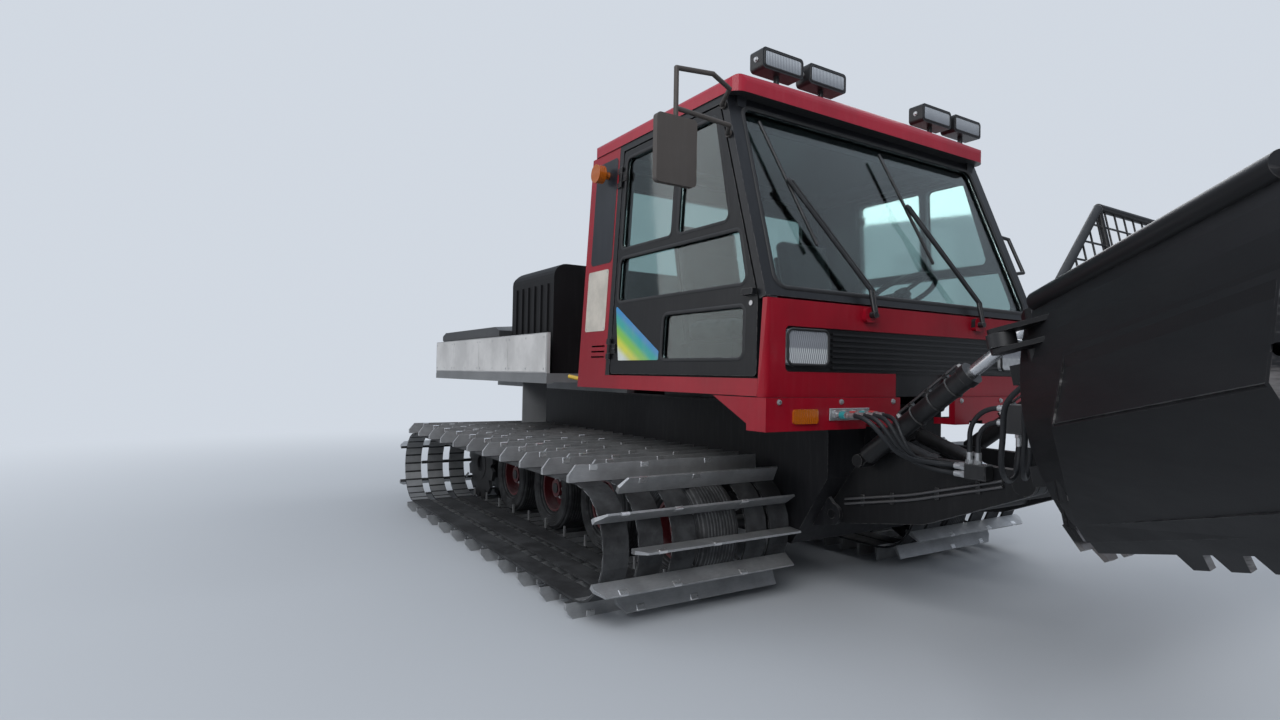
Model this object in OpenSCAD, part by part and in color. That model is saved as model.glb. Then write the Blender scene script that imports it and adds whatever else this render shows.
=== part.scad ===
// Snow groomer on rubber-belt tracks, with a two-seat cab, a load deck and a winged front blade.
// Millimetres. X points forward, Y to the machine's left, Z up from the ground.
// Stations along X are measured from a datum above the front foot of the tracks.

/* [Tracks] */
// Number of cross bars round each track, an even number
bar_count = 52; // [46:2:54]
// Number of teeth on each drive sprocket
sprocket_teeth = 12; // [12:1:13]
// Outer radius of the road wheels' tyres
tyre_r = 259; // [248:1:270]
// Width of a tyre
tyre_w = 225; // [200:5:240]
// Distance from the machine's middle to the middle of a tyre
wheel_y = 898; // [880:1:920]
// Number of road wheels on each side, ahead of the sprocket
wheel_count = 4; // [3:1:4]
// Width of one rubber belt
belt_w = 120; // [100:5:130]
// Thickness of a rubber belt
belt_t = 12; // [10:1:16]
// Gap between the belts outside the wheels
outer_belt_gap = 53; // [45:1:60]
// Gap between the belts inside the wheels
inner_belt_gap = 25; // [15:1:35]
// Height of a cross bar above its belt
bar_h = 75; // [60:1:80]
// Thickness of a cross bar at its foot
bar_foot = 22; // [16:1:30]
// Thickness of a cross bar at its tip
bar_tip = 9; // [6:1:12]
// Reach of a long bar past the outermost belt
bar_reach = 42; // [20:1:60]
// How much shorter every second bar is
short_bar_cut = 172; // [150:1:190]
// Height of the steel horns that guide the tyres
horn_h = 62; // [40:1:80]

/* [Hull] */
// Half width of the hull between the tracks
hull_hw = 430; // [400:5:440]
// Height of the hull's top edge
hull_top = 940; // [920:5:950]
// Height of the hull's floor
hull_bottom = 250; // [220:5:300]
// Thickness of the hull's plates
hull_t = 10; // [6:1:14]
// Radius of the steel axle stubs
axle_r = 32; // [26:1:38]

/* [Deck] */
// Half width of the load deck
deck_hw = 1060; // [1000:5:1100]
// Length of the load deck
deck_len = 2380; // [2300:10:2500]
// Height of the underside of the deck's side rail
deck_z = 1000; // [995:5:1010]
// Height of the deck's side rail
rail_h = 65; // [50:1:75]
// Height of the side boards
board_h = 258; // [200:2:300]
// Thickness of the side boards
board_t = 22; // [15:1:30]
// Height of the top of the engine housing
housing_top = 1790; // [1700:10:1850]
// Half width of the engine housing
housing_hw = 960; // [900:10:1000]
// Length of the engine housing
housing_len = 700; // [660:10:760]
// Length of the tool chest
chest_len = 1380; // [1200:10:1400]
// Height of the tool chest, without its lid
chest_h = 270; // [262:2:320]

/* [Cab] */
// Half width of the cab at its sill
cab_hw = 1030; // [1010:1:1050]
// Lean of the cab's sides
side_lean = 3.34; // [2:0.1:4]
// Lean of the windscreen
screen_lean = 20; // [16:1:22]
// Height of the roof's lower edge
roof_z = 2338; // [2320:1:2360]
// Height of the roof's side
roof_side = 76; // [66:1:90]
// Rise of the roof above its sides
roof_rise = 30; // [20:1:45]
// Thickness of a door
door_t = 42; // [36:1:50]
// Gap round a door
door_gap = 10; // [9:1:12]
// Thickness of the cab's outer panels
panel_t = 32; // [24:1:40]
// Thickness of a pane of glass
glass_t = 6; // [4:1:8]
// Radius of the windows' corners
glass_r = 55; // [30:1:80]

/* [Blade] */
// Half width of the middle blade
blade_hw = 900; // [850:10:950]
// Height of the blade along its lean
blade_h = 665; // [600:5:700]
// Depth of the blade's hollow face
blade_bow = 80; // [60:1:90]
// Thickness of the blade's plate
blade_t = 12; // [8:1:16]
// Backward lean of the blade
blade_lean = 11.9; // [8:0.1:14]
// Length of a wing
wing_len = 900; // [800:10:950]
// Angle that the wings are folded forward
wing_fold = 54; // [45:1:60]
// Length of a tooth below the cutting edge
tooth_h = 42; // [30:1:60]
// Distance from tooth to tooth
tooth_pitch = 112; // [100:1:125]
// Half width of the overfill guard at its foot
guard_foot = 760; // [700:10:800]
// Half width of the overfill guard at its top
guard_top = 320; // [260:10:400]
// Height of the overfill guard
guard_h = 350; // [300:10:400]

/* [Hidden] */
$fn = 32;

// Clearances: a seat between two pieces, a running fit, and the least gap to a moving piece
seat = 0.3;
run = 0.3;

// Track loop, round two equal circles, on a pitch that the sprocket sets
belt_out_r = tyre_r;
belt_in_r = belt_out_r - belt_t;
belt_mid_r = belt_out_r - belt_t / 2;
bar_pitch = 2 * PI * belt_mid_r / sprocket_teeth;
wheelbase = (bar_count - sprocket_teeth) * bar_pitch / 2;
axle_z = belt_out_r + seat + bar_h;
front_axle_x = -170;
rear_axle_x = front_axle_x - wheelbase;
channel_hw = tyre_w / 2 + 36;
outer_belts = [for (i = [0:2]) wheel_y + channel_hw + belt_w / 2 + i * (belt_w + outer_belt_gap)];
inner_belts = [for (i = [0:1]) wheel_y - channel_hw - belt_w / 2 - i * (belt_w + inner_belt_gap)];
belts = concat(inner_belts, outer_belts);
bar_in_y = inner_belts[1] - belt_w / 2 - 5;
bar_out_y = outer_belts[2] + belt_w / 2 + bar_reach;
rim_r = 145;
rim_groove = 3;
tyre_in_r = rim_r - rim_groove + run;

// Hull
hull_front_x = 280;
hull_rear_x = -3050;
hull_foot_front = hull_front_x - 230;
hull_foot_rear = hull_rear_x + 260;
hull_knee_z = 600;
bulkheads = [-980, -2325];
lift_pin = [230, 420];
arm_y = 300;
arm_w = 50;

// Deck
deck_front_x = -1470;
deck_rear_x = deck_front_x - deck_len;
floor_t = 20;
floor_z = deck_z + rail_h - floor_t;
board_z = deck_z + rail_h;
housing_front_x = deck_front_x - 130;
housing_rear_x = housing_front_x - housing_len;
housing_t = 12;
engine_x = [housing_rear_x + 60, housing_front_x - 60];
engine_z = [420, 1560];
engine_hw = 380;
rail_y = 280;
chest_hw = deck_hw - board_t - 6;
chest_front_x = housing_rear_x - 62;
lid_hinge = [14, deck_z + rail_h + chest_h + 2];
chest_rear_x = chest_front_x - chest_len;
chest_t = 14;
lid_edge = 40;
lid_side = 68;
lid_ridge = 118;

// Cab
sill_z = 990;
door_z = 1070;
door_top_z = roof_z - 43;
door_rear_x = -735;
door_front_x = 440;
waist_z = 1390;
nose_x = 480;
cab_rear_x = -1078;
screen_x = 470;
screen_z = 1400;
hinge_x = door_rear_x - 5;
hinge_out = 10;
hinge_r = 9;
hinge_z = [1180, door_top_z - 165];
hinge_h = 50;
side_base_z = sill_z;
rear_glass_hw = 760;
rear_glass_z = [1480, roof_z - 138];

// Blade and its carrier, at rest
blade_pos = [1610, 640];
head_pin = [1150, 690];
pitch_base = [440, 700];
pitch_eye = [1215, 1290];
pitch_y = 385;
king_x = 1270;
lift_base = [330, 800];
lift_eye = [800, 640];
lift_y = 140;
swing_base = [896, 280];
swing_eye = [1300, 180];
swing_z = 880;
wing_eye = [-105, 0];
wing_base = [-150, 450];
pin_r = 18;

// Datum, so that the machine's middle stands above the origin
tip_reach = blade_pos[0] + wing_len * sin(wing_fold) + 10;
datum_x = -(tip_reach + deck_rear_x) / 2;

// Points on an arc, from angle a0 to a1 about (cx, cy)
function arc(cx, cy, r, a0, a1, n) =
    [for (i = [0:n]) let (a = a0 + (a1 - a0) * i / n) [cx + r * cos(a), cy + r * sin(a)]];

// Outline of a loop round the front and rear axles at radius r
function loop_outline(r, n) =
    concat(arc(front_axle_x, axle_z, r, -90, 90, n), arc(rear_axle_x, axle_z, r, 90, 270, n));

// Place and heading of a point that lies s along the loop's middle line: [x, z, angle]
function loop_at(s) =
    let (half = PI * belt_mid_r)
    s < wheelbase ? [front_axle_x - s, axle_z + belt_mid_r, 90]
    : s < wheelbase + half ? let (a = 90 + (s - wheelbase) / belt_mid_r * 180 / PI)
        [rear_axle_x + belt_mid_r * cos(a), axle_z + belt_mid_r * sin(a), a]
    : s < 2 * wheelbase + half ? [rear_axle_x + s - wheelbase - half, axle_z - belt_mid_r, 270]
    : let (a = 270 + (s - 2 * wheelbase - half) / belt_mid_r * 180 / PI)
        [front_axle_x + belt_mid_r * cos(a), axle_z + belt_mid_r * sin(a), a];

module at_datum() {
    translate([datum_x, 0, 0]) children();
}

module mirrored() {
    children();
    mirror([0, 1, 0]) children();
}

// Slab of an XZ outline between y0 and y1
module xz_slab(y0, y1) {
    translate([0, y1, 0]) rotate([90, 0, 0]) linear_extrude(y1 - y0) children();
}

// Round bar along Y at (x, z)
module y_bar(at, r, y0, y1) {
    translate([at[0], y1, at[1]]) rotate([90, 0, 0]) cylinder(r = r, h = y1 - y0);
}

module block(x0, x1, y0, y1, z0, z1) {
    translate([x0, y0, z0]) cube([x1 - x0, y1 - y0, z1 - z0]);
}

// Round bar from p to q
module rod(p, q, r) {
    d = q - p;
    len = norm(d);
    translate(p) rotate([0, acos(d[2] / len), atan2(d[1], d[0])]) cylinder(r = r, h = len);
}

// Bent tube through points, with an elbow a shade fatter than the tube at each
module tube(points, r) {
    for (i = [1:len(points) - 1]) rod(points[i - 1], points[i], r);
    for (p = points) translate(p) sphere(r = r * 1.02);
}

// Outline with corners of radius r
module rounded(r) {
    offset(r = r) offset(delta = -r) children();
}

// Sheet in the leaning plane of the cab's right side; children are an outline in true X and Z
module side_sheet(depth, t) {
    translate([0, -cab_hw, side_base_z]) rotate([-side_lean, 0, 0]) rotate([90, 0, 0])
        translate([0, -side_base_z, -depth - t]) linear_extrude(t) children();
}

// Distance of the cab's outer side from the middle at height z
function side_y(z) = cab_hw - (z - side_base_z) * tan(side_lean);

// Sheet in the plane of the windscreen; children are an outline in Y and height up the slope
module screen_sheet(depth, t) {
    translate([screen_x, 0, screen_z]) rotate([0, -screen_lean, 0]) rotate([90, 0, 90])
        translate([0, 0, -depth - t]) linear_extrude(t) children();
}

// Frame of the blade: its foot at the origin, Z up the blade, X to the front
module blade_frame() {
    translate([blade_pos[0], 0, blade_pos[1]]) rotate([0, -blade_lean, 0]) children();
}

// Frame of the right wing, hinged at the blade's end and lying along -Y before it folds
module wing_frame() {
    blade_frame() translate([0, -blade_hw, 0]) rotate([0, 0, wing_fold]) children();
}

// Capsule outline from p to q
function capsule(p, q, r, n) =
    let (a = atan2(q[1] - p[1], q[0] - p[0]))
    concat(arc(p[0], p[1], r, a + 90, a + 270, n), arc(q[0], q[1], r, a - 90, a + 90, n));

// Station of the windscreen's plane at height z
function screen_line(z) = screen_x - (z - screen_z) * tan(screen_lean);

// Axle stations of one side, front first; the last is the sprocket's
axle_x = [for (i = [0:wheel_count]) front_axle_x - i * wheelbase / wheel_count];

// Outline of a door in true X and Z
pillar_w = 52;
door_outline = [
    [door_rear_x, door_z],
    [door_front_x, door_z],
    [screen_line(waist_z) - pillar_w, waist_z],
    [screen_line(door_top_z) - pillar_w, door_top_z],
    [door_rear_x, door_top_z]
];

// Window openings of a door, each an outline in true X and Z: two upper panes, a lower one, a foot one
upper_foot = 1745;
upper_head = door_top_z - 43;
split_x = -205;
split_hw = 22;
upper_front = [screen_line(upper_foot) - 128, screen_line(upper_head) - 88];
door_panes = [
    [[door_rear_x + 30, upper_foot], [split_x - split_hw, upper_foot],
     [split_x - split_hw, upper_head], [door_rear_x + 30, upper_head]],
    [[split_x + split_hw, upper_foot], [upper_front[0], upper_foot],
     [upper_front[1], upper_head], [split_x + split_hw, upper_head]],
    [[door_rear_x + 30, 1455], [356, 1455], [285, 1698], [door_rear_x + 30, 1698]],
    [[-255, 1140], [354, 1140], [345, 1366], [-255, 1366]]
];

module hull() {
    color("#17181a") at_datum() {
        difference() {
            union() {
                xz_slab(-hull_hw, hull_hw) hull_outline();
                mirrored() block(hull_rear_x, hull_front_x, hull_hw - 1, hull_hw + 35, hull_top - hull_t,
                    hull_top);
            }
            difference() {
                xz_slab(-hull_hw + hull_t, hull_hw - hull_t) {
                    offset(delta = -hull_t) hull_outline();
                    translate([0, 2 * hull_t]) offset(delta = -hull_t) hull_outline();
                }
                for (x = bulkheads) block(x, x + hull_t, -hull_hw, hull_hw, hull_bottom, hull_top);
            }
        }
        mirrored() {
            for (y = [arm_y - arm_w / 2 - 22, arm_y + arm_w / 2 + 2]) difference() {
                xz_slab(y, y + 20) polygon(concat(arc(lift_pin[0], lift_pin[1], 52, -80, 80, 12),
                    [[195, 515], [85, 335]]));
                y_bar(lift_pin, pin_r + 4 + run, y - 1, y + 21);
            }
            for (y = [lift_y - 36, lift_y + 22]) difference() {
                xz_slab(y, y + 14) polygon(concat(arc(lift_base[0], lift_base[1], 34, -90, 90, 10),
                    [[hull_front_x - 5, lift_base[1] + 60], [hull_front_x - 5, lift_base[1] - 60]]));
                y_bar(lift_base, pin_r + run, y - 1, y + 15);
            }
            for (y = [280, 330]) difference() {
                xz_slab(y, y + 20) polygon(concat(arc(hitch_pin[0], hitch_pin[1], 42, 100, 260, 12),
                    [[hull_rear_x + 5, hitch_pin[1] - 60], [hull_rear_x + 5, hitch_pin[1] + 80]]));
                y_bar(hitch_pin, hitch_bore_r, y - 1, y + 21);
            }
        }
    }
}

hitch_pin = [hull_rear_x - 75, 560];
hitch_bore_r = 16;

module hull_outline() {
    polygon([
        [hull_rear_x, hull_top], [hull_rear_x, hull_knee_z - 100], [hull_foot_rear, hull_bottom],
        [hull_foot_front, hull_bottom], [hull_front_x, hull_knee_z], [hull_front_x, hull_top]
    ]);
}

module engine() {
    color("#4a4c4e") at_datum() {
            block(engine_x[0], engine_x[1], -engine_hw, engine_hw, engine_z[0], engine_z[1]);
            mirrored() block(engine_x[0], engine_x[1], rail_y, rail_y + 50, hull_bottom + hull_t + seat,
                engine_z[0] + 1);
        }
}

module axles() {
    color("#222326") at_datum() mirrored() {
        for (i = [0:wheel_count]) {
            at = [axle_x[i], axle_z];
            drive = i == wheel_count;
            y_bar(at, drive ? 62 : axle_r, hull_hw, wheel_y + 76);
            y_bar(at, drive ? 128 : 74, hull_hw, hull_hw + (drive ? 150 : 18));
            if (!drive) difference() {
                xz_slab(hull_hw + 8, hull_hw + 52)
                    polygon(capsule(at, [axle_x[i] - 190, axle_z + 70], 44, 8));
                y_bar([axle_x[i] - 190, axle_z + 70], 14, hull_hw + 7, hull_hw + 53);
            }
        }
    }
}

// One wheel's rim about the Y axis: barrel, dished disc and hub
module rim_shape() {
    rotate([90, 0, 0]) rotate_extrude() {
        difference() {
            translate([rim_r - 12, -88]) square([12, 176]);
            translate([rim_r - rim_groove, -74]) square([rim_groove + 1, 148]);
        }
        polygon([[52, -44], [70, -44], [rim_r - 8, -14], [rim_r - 8, 0], [66, -30], [52, -30]]);
        translate([axle_r + run, -70]) square([54 - axle_r, 130]);
    }
}

module rims() {
    color("#7d1418") at_datum() mirrored()
        for (i = [0:wheel_count - 1]) translate([axle_x[i], wheel_y, axle_z]) rim_shape();
}

// One tyre about the Y axis: flat tread, bevelled shoulders, bulged side walls
module tyre_shape() {
    half = tyre_w / 2;
    rotate([90, 0, 0]) rotate_extrude() polygon([
        [tyre_in_r, -70], [rim_r + 30, -half], [tyre_r - 22, -half], [tyre_r, -half + 30],
        [tyre_r, half - 30], [tyre_r - 22, half], [rim_r + 30, half], [tyre_in_r, 70]
    ]);
}

module tyres() {
    color("#1b1b1d") at_datum() mirrored()
        for (i = [0:wheel_count - 1]) translate([axle_x[i], wheel_y, axle_z]) tyre_shape();
}

// Toothed ring of the sprocket; its teeth stand midway between the bars
module sprocket_ring() {
    root_r = belt_in_r - 26;
    tip_r = belt_out_r + 12;
    step = 360 / sprocket_teeth;
    difference() {
        polygon([for (k = [0:sprocket_teeth - 1], c = [[root_r, -0.43], [tip_r, -0.27], [tip_r, 0.27],
            [root_r, 0.43]])
            let (a = 90 + (k + 0.5 + c[1]) * step) [c[0] * cos(a), c[0] * sin(a)]]);
        circle(r = 118);
    }
}

module sprockets() {
    color("#2c2e30") at_datum() mirrored() translate([rear_axle_x, 0, axle_z]) {
        for (y = [wheel_y - 92, wheel_y + 68]) xz_slab(y, y + 24) sprocket_ring();
        difference() {
            y_bar([0, 0], 119, wheel_y - 96, wheel_y + 96);
            y_bar([0, 0], 62 + run, wheel_y - 97, wheel_y + 97);
        }
    }
}

// One cross bar at its place on the loop: a tapered blade with a clipped outer corner
module track_bar(at, y_out, horned) {
    r0 = belt_t / 2 + seat;
    translate([at[0], 0, at[1]]) rotate([0, 90 - at[2], 0]) {
        difference() {
            xz_slab(bar_in_y, y_out) polygon([
                [-bar_foot / 2, r0], [bar_foot / 2, r0], [bar_tip / 2, r0 + bar_h], [-bar_tip / 2, r0 + bar_h]
            ]);
            translate([-bar_foot, 0, r0 + bar_h]) rotate([90, 0, 90]) linear_extrude(2 * bar_foot)
                polygon([[y_out - 38, 1], [y_out + 1, 1], [y_out + 1, -48]]);
        }
        if (horned) for (y = [-1, 1]) {
            yc = wheel_y + y * (channel_hw - 14);
            xz_slab(yc - 5, yc + 5) polygon([
                [-10, r0 + 5], [10, r0 + 5], [6, -belt_t / 2 - horn_h], [-6, -belt_t / 2 - horn_h]
            ]);
        }
    }
}

module track() {
    n = sprocket_teeth;
    for (y = belts) xz_slab(y - belt_w / 2, y + belt_w / 2) difference() {
        polygon(loop_outline(belt_out_r, n));
        polygon(loop_outline(belt_in_r, n));
    }
    for (i = [0:bar_count - 1]) {
        long = i % 2 == 0;
        track_bar(loop_at(i * bar_pitch), long ? bar_out_y : bar_out_y - short_bar_cut, long);
    }
}

module track_left() {
    color("#9a9c9e") at_datum() track();
}

module track_right() {
    color("#9a9c9e") at_datum() mirror([0, 1, 0]) track();
}

module deck() {
    color("#8b8d8f") at_datum() {
        difference() {
            block(deck_rear_x, deck_front_x, -deck_hw + 2, deck_hw - 2, floor_z, floor_z + floor_t);
            block(housing_rear_x + 40, housing_front_x - 40, -400, 400, floor_z - 1, floor_z + floor_t + 1);
        }
        mirrored() {
            block(deck_rear_x, deck_front_x, deck_hw - 42, deck_hw, deck_z, floor_z + 1);
            block(deck_rear_x, deck_front_x, 405, 465, hull_top, floor_z + 1);
        }
        for (x = [deck_rear_x, deck_rear_x + 480, deck_rear_x + 960, deck_rear_x + 1440, deck_front_x - 50])
            mirrored() block(x, x + 50, x < housing_rear_x || x > housing_front_x ? -1 : 420,
                deck_hw - 20, deck_z + 8, floor_z + 1);
    }
}

module deck_boards() {
    color("#d4d4d2") at_datum() translate([0, 0, board_z]) {
        mirrored() block(deck_rear_x, deck_front_x, deck_hw - board_t, deck_hw, 0, board_h);
        block(deck_rear_x, deck_rear_x + board_t, -deck_hw, deck_hw, 0, board_h);
    }
}

module housing_section(inset) {
    r = 90 - inset;
    w = housing_hw - inset;
    top = housing_top - board_z - inset;
    polygon(concat([[-w, 0], [w, 0]], arc(w - r, top - r, r, 0, 90, 6), arc(-w + r, top - r, r, 90, 180, 6)));
}

module engine_housing() {
    color("#141416") at_datum() translate([0, 0, board_z]) {
        difference() {
            intersection() {
                translate([housing_rear_x, 0, 0]) rotate([90, 0, 90]) linear_extrude(housing_len)
                    housing_section(0);
                xz_slab(-housing_hw, housing_hw) polygon([
                    [housing_rear_x, 0], [housing_front_x, 0], [housing_front_x, housing_top - board_z],
                    [housing_rear_x + 60, housing_top - board_z], [housing_rear_x, housing_top - board_z - 60]
                ]);
            }
            translate([housing_rear_x + housing_t, 0, -1]) rotate([90, 0, 90])
                linear_extrude(housing_len - 2 * housing_t) housing_section(housing_t);
            translate([0, 0, -1]) block(housing_rear_x + housing_t, housing_front_x - housing_t,
                -housing_hw + housing_t, housing_hw - housing_t, 0, 3);
        }
        rib_top = housing_top - board_z - 130;
        mirrored() for (i = [0:5]) {
            x = housing_rear_x + 75 + i * (housing_len - 150 - 26) / 5;
            block(x, x + 26, housing_hw - 1, housing_hw + 12, 120, rib_top);
        }
    }
}

chest_z = board_z;

module tool_chest() {
    color("#6f7276") at_datum() {
        difference() {
            block(chest_rear_x, chest_front_x, -chest_hw, chest_hw, chest_z, chest_z + chest_h);
            block(chest_rear_x + chest_t, chest_front_x - chest_t, -chest_hw + chest_t, chest_hw - chest_t,
                chest_z + chest_t, chest_z + chest_h + 1);
        }
        mirrored() difference() {
            chest_knuckle(hinge_y[0], chest_z + chest_h - 0.1, -1);
            y_bar([chest_front_x + lid_hinge[0], lid_hinge[1]], 5 + run, hinge_y[0][0] - 1,
                hinge_y[0][1] + 1);
        }
    }
}

hinge_y = [[300, 360], [365, 425]];

module chest_lid() {
    z = chest_z + chest_h + seat;
    color("#7b7e82") at_datum() {
        difference() {
            intersection() {
                translate([chest_rear_x - 6, 0, z]) rotate([90, 0, 90]) linear_extrude(chest_len + 12)
                    lid_section(0);
                xz_slab(-1200, 1200) lid_profile(0);
            }
            intersection() {
                translate([chest_rear_x + 8, 0, z - 1]) rotate([90, 0, 90]) linear_extrude(chest_len - 16)
                    lid_section(10);
                xz_slab(-1200, 1200) lid_profile(10);
            }
        }
        mirrored() {
            chest_knuckle(hinge_y[1], z, 1);
            y_bar([chest_front_x + lid_hinge[0], lid_hinge[1]], 5, hinge_y[0][0], hinge_y[1][1]);
        }
    }
}

// Half of a hinge in front of the chest's edge, reaching back to it above or below the seam
module chest_knuckle(span, z, up) {
    y_bar([chest_front_x + lid_hinge[0], lid_hinge[1]], 10, span[0], span[1]);
    block(chest_front_x - 1, chest_front_x + lid_hinge[0], span[0], span[1], up > 0 ? z : z - 12,
        up > 0 ? z + 11 : z);
}

module lid_section(inset) {
    w = chest_hw + 4 - inset;
    polygon([[-w, -1], [w, -1], [w, lid_side - inset], [w * 0.45, lid_ridge - inset],
        [-w * 0.45, lid_ridge - inset], [-w, lid_side - inset]]);
}

module lid_profile(inset) {
    x0 = chest_rear_x - 6 + inset;
    x1 = chest_front_x + 1 - inset;
    z = chest_z + chest_h + seat;
    polygon([[x0, z], [x1, z], [x1, z + lid_edge - inset], [x1 - 240, z + lid_ridge - inset],
        [x0 + 240, z + lid_ridge - inset], [x0, z + lid_edge - inset]]);
}

module cab_floor() {
    color("#26282a") at_datum() {
        block(cab_rear_x + 6, nose_x - 60, -cab_hw + panel_t + 6, cab_hw - panel_t - 6, sill_z, sill_z + 30);
        mirrored() block(cab_rear_x + 6, 260, 330, hull_hw, hull_top + seat, sill_z + 1);
        for (y = seat_y) {
            block(-600, -220, y - 190, y + 190, sill_z + 29, seat_z - 60);
            block(-640, -180, y - 215, y + 215, seat_z - 61, seat_z - 40);
            seat_back(y) translate([0, -190, -60]) cube([back_t, 380, 600]);
        }
    }
}

seat_y = [-400, 380];
seat_z = 1300;
back_t = 18;

// Frame of a seat's back, leaning to the rear
module seat_back(y) {
    translate([-655, y, seat_z]) rotate([0, -12, 0]) children();
}

module seat_pads() {
    color("#202124") at_datum() for (y = seat_y) {
        translate([-395, y, seat_z - 40 + seat]) linear_extrude(110) rounded(60)
            square([430, 470], center = true);
        seat_back(y) translate([back_t + seat, 0, 86]) rotate([90, 0, 90]) linear_extrude(105) rounded(60)
            translate([-225, 0]) square([450, 560]);
    }
}

// Ring of the windscreen: bottom and top half widths, heights up the slope
screen_top = (roof_z - screen_z) / cos(screen_lean);
glass_foot = 42;
glass_head = screen_top - 48;

module screen_outline() {
    foot = side_y(screen_z);
    head = side_y(roof_z + 8);
    polygon([[-foot, 0], [foot, 0], [head, screen_top + 8], [-head, screen_top + 8]]);
}

module screen_glass() {
    rounded(glass_r) polygon([[-938, glass_foot], [938, glass_foot], [872, glass_head], [-872, glass_head]]);
}

module side_ring(grow) {
    difference() {
        polygon([[door_rear_x - 50, sill_z + 34], [nose_x - 34, sill_z + 34], [nose_x - 34, waist_z + 6],
            [screen_line(waist_z + 6) - 2, waist_z + 6], [screen_line(roof_z + 8) - 2, roof_z + 8],
            [door_rear_x - 50, roof_z + 8]]);
        offset(delta = grow) polygon(door_outline);
    }
}

module cab_frame() {
    color("#101113") at_datum() intersection() {
        union() {
            screen_sheet(0, 40) difference() {
                screen_outline();
                screen_glass();
            }
            mirrored() {
                side_sheet(panel_t + seat, 60 - panel_t) side_ring(door_gap);
                side_sheet(door_t + 7, 14) side_ring(-22);
                pillar_hinges();
                side_sheet(0, panel_t + 1) intersection() {
                    side_ring(door_gap);
                    polygon([[door_rear_x - 50, door_z - 6], [door_rear_x, door_z - 6],
                        [door_rear_x, door_top_z],
                        [-400, door_top_z], [300, waist_z + 4], [900, waist_z + 4], [900, roof_z + 9],
                        [door_rear_x - 50, roof_z + 9]]);
                }
                block(nose_x - 90, nose_x - 34, 915, 962, sill_z + 30 + seat, waist_z - 8);
                block(cab_rear_x + seat, cab_rear_x + 60, 850, 905, sill_z + 30 + seat, roof_z);
            }
            block(nose_x - 90, nose_x - 34, -962, 962, waist_z - 70, waist_z - 8);
            block(cab_rear_x + seat, cab_rear_x + 60, -905, 905, roof_z - 50, roof_z);
            mirrored() block(cab_rear_x + 30, 150, 850, 900, roof_z - 50, roof_z);
        }
        block(-2000, 2000, -2000, 2000, 0, roof_z);
    }
}

module roof_section(inset) {
    w = roof_hw - inset;
    side = roof_side - inset;
    polygon(concat([[-w, 0], [w, 0]], arc(w - roof_r, side - roof_r, roof_r, 0, 88, 6),
        [[0, side + roof_rise]], arc(-w + roof_r, side - roof_r, roof_r, 92, 180, 6)));
}

roof_hw = 958;
roof_r = 34;

// Height of the roof's top at distance y from the middle
function roof_top(y) = roof_z + seat + roof_side + roof_rise * (1 - abs(y) / (roof_hw - roof_r));

roof_front_x = 198;
roof_rear_x = cab_rear_x - 26;

module roof() {
    h = roof_side + roof_rise + 10;
    color("#b3202c") at_datum() translate([0, 0, roof_z + seat]) difference() {
        intersection() {
            translate([roof_rear_x, 0, 0]) rotate([90, 0, 90]) linear_extrude(roof_front_x - roof_rear_x)
                roof_section(0);
            linear_extrude(h) rounded(70) translate([roof_rear_x, -roof_hw])
                square([roof_front_x - roof_rear_x, 2 * roof_hw]);
            xz_slab(-1000, 1000) polygon(concat([[roof_rear_x, 0], [roof_front_x, 0]],
                arc(roof_front_x - 60, roof_side - 26, 60, 0, 80, 6), [[-300, h], [-700, h]],
                arc(roof_rear_x + 60, roof_side - 26, 60, 95, 180, 6)));
        }
        block(cab_rear_x + 10, screen_line(roof_z) - 30, -900, 900, -1, roof_side - 24);
    }
}

band = [[-905, 1092], [905, 1092], [905, 1280], [-905, 1280]];
mouth_hw = 208;
lamp_z = [1118, 1272];
lamp_y = [648, 894];

module nose_panel() {
    color("#a81420") at_datum() {
        difference() {
            intersection() {
                translate([0, 0, sill_z - 4]) linear_extrude(waist_z - sill_z + 4) difference() {
                    rounded(40) translate([nose_x - 500, -cab_hw]) square([500, 2 * cab_hw]);
                    translate([nose_x - 500 - panel_t, -cab_hw + panel_t])
                        square([500, 2 * (cab_hw - panel_t)]);
                    translate([nose_x - 501, -1100]) square([door_front_x + door_gap - nose_x + 501, 2200]);
                }
                translate([0, 0, 0]) rotate([90, 0, 90]) linear_extrude(900) polygon([
                    [-cab_hw, sill_z - 5], [cab_hw, sill_z - 5],
                    [cab_hw - 26, waist_z + 5], [-cab_hw + 26, waist_z + 5]
                ]);
            }
            translate([nose_x - 60, 0, 0]) rotate([90, 0, 90]) linear_extrude(100) offset(r = 22)
                offset(delta = -22)
                polygon(band);
            block(nose_x - 60, nose_x + 60, -mouth_hw, mouth_hw, sill_z - 10, 1100);
        }
        for (y = wiper_y) translate([nose_x - 1, y + 13, 1350]) rotate([0, 90, 0])
            linear_extrude(boss_t + 1) rounded(18) square([64, 92], center = true);
    }
}

module grille_band() {
    color("#0e0f10") at_datum() {
        difference() {
            union() {
                translate([nose_x - 50, 0, 0]) rotate([90, 0, 90]) linear_extrude(30) offset(delta = -seat)
                    offset(r = 22) offset(delta = -22) polygon(band);
                block(nose_x - 50, nose_x - 30, -mouth_hw + seat, mouth_hw - seat, sill_z - 3, 1094);
                for (i = [0:6]) block(nose_x - 21, nose_x - 6, -620, 620, 1108 + i * 24, 1118 + i * 24);
            }
            for (s = [-1, 1]) translate([nose_x - 60, s * (lamp_y[0] + lamp_y[1]) / 2,
                (lamp_z[0] + lamp_z[1]) / 2])
                rotate([90, 0, 90]) linear_extrude(100) offset(delta = seat) lamp_outline();
        }
    }
}

module lamp_outline() {
    rounded(26) square([lamp_y[1] - lamp_y[0], lamp_z[1] - lamp_z[0]], center = true);
}

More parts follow.
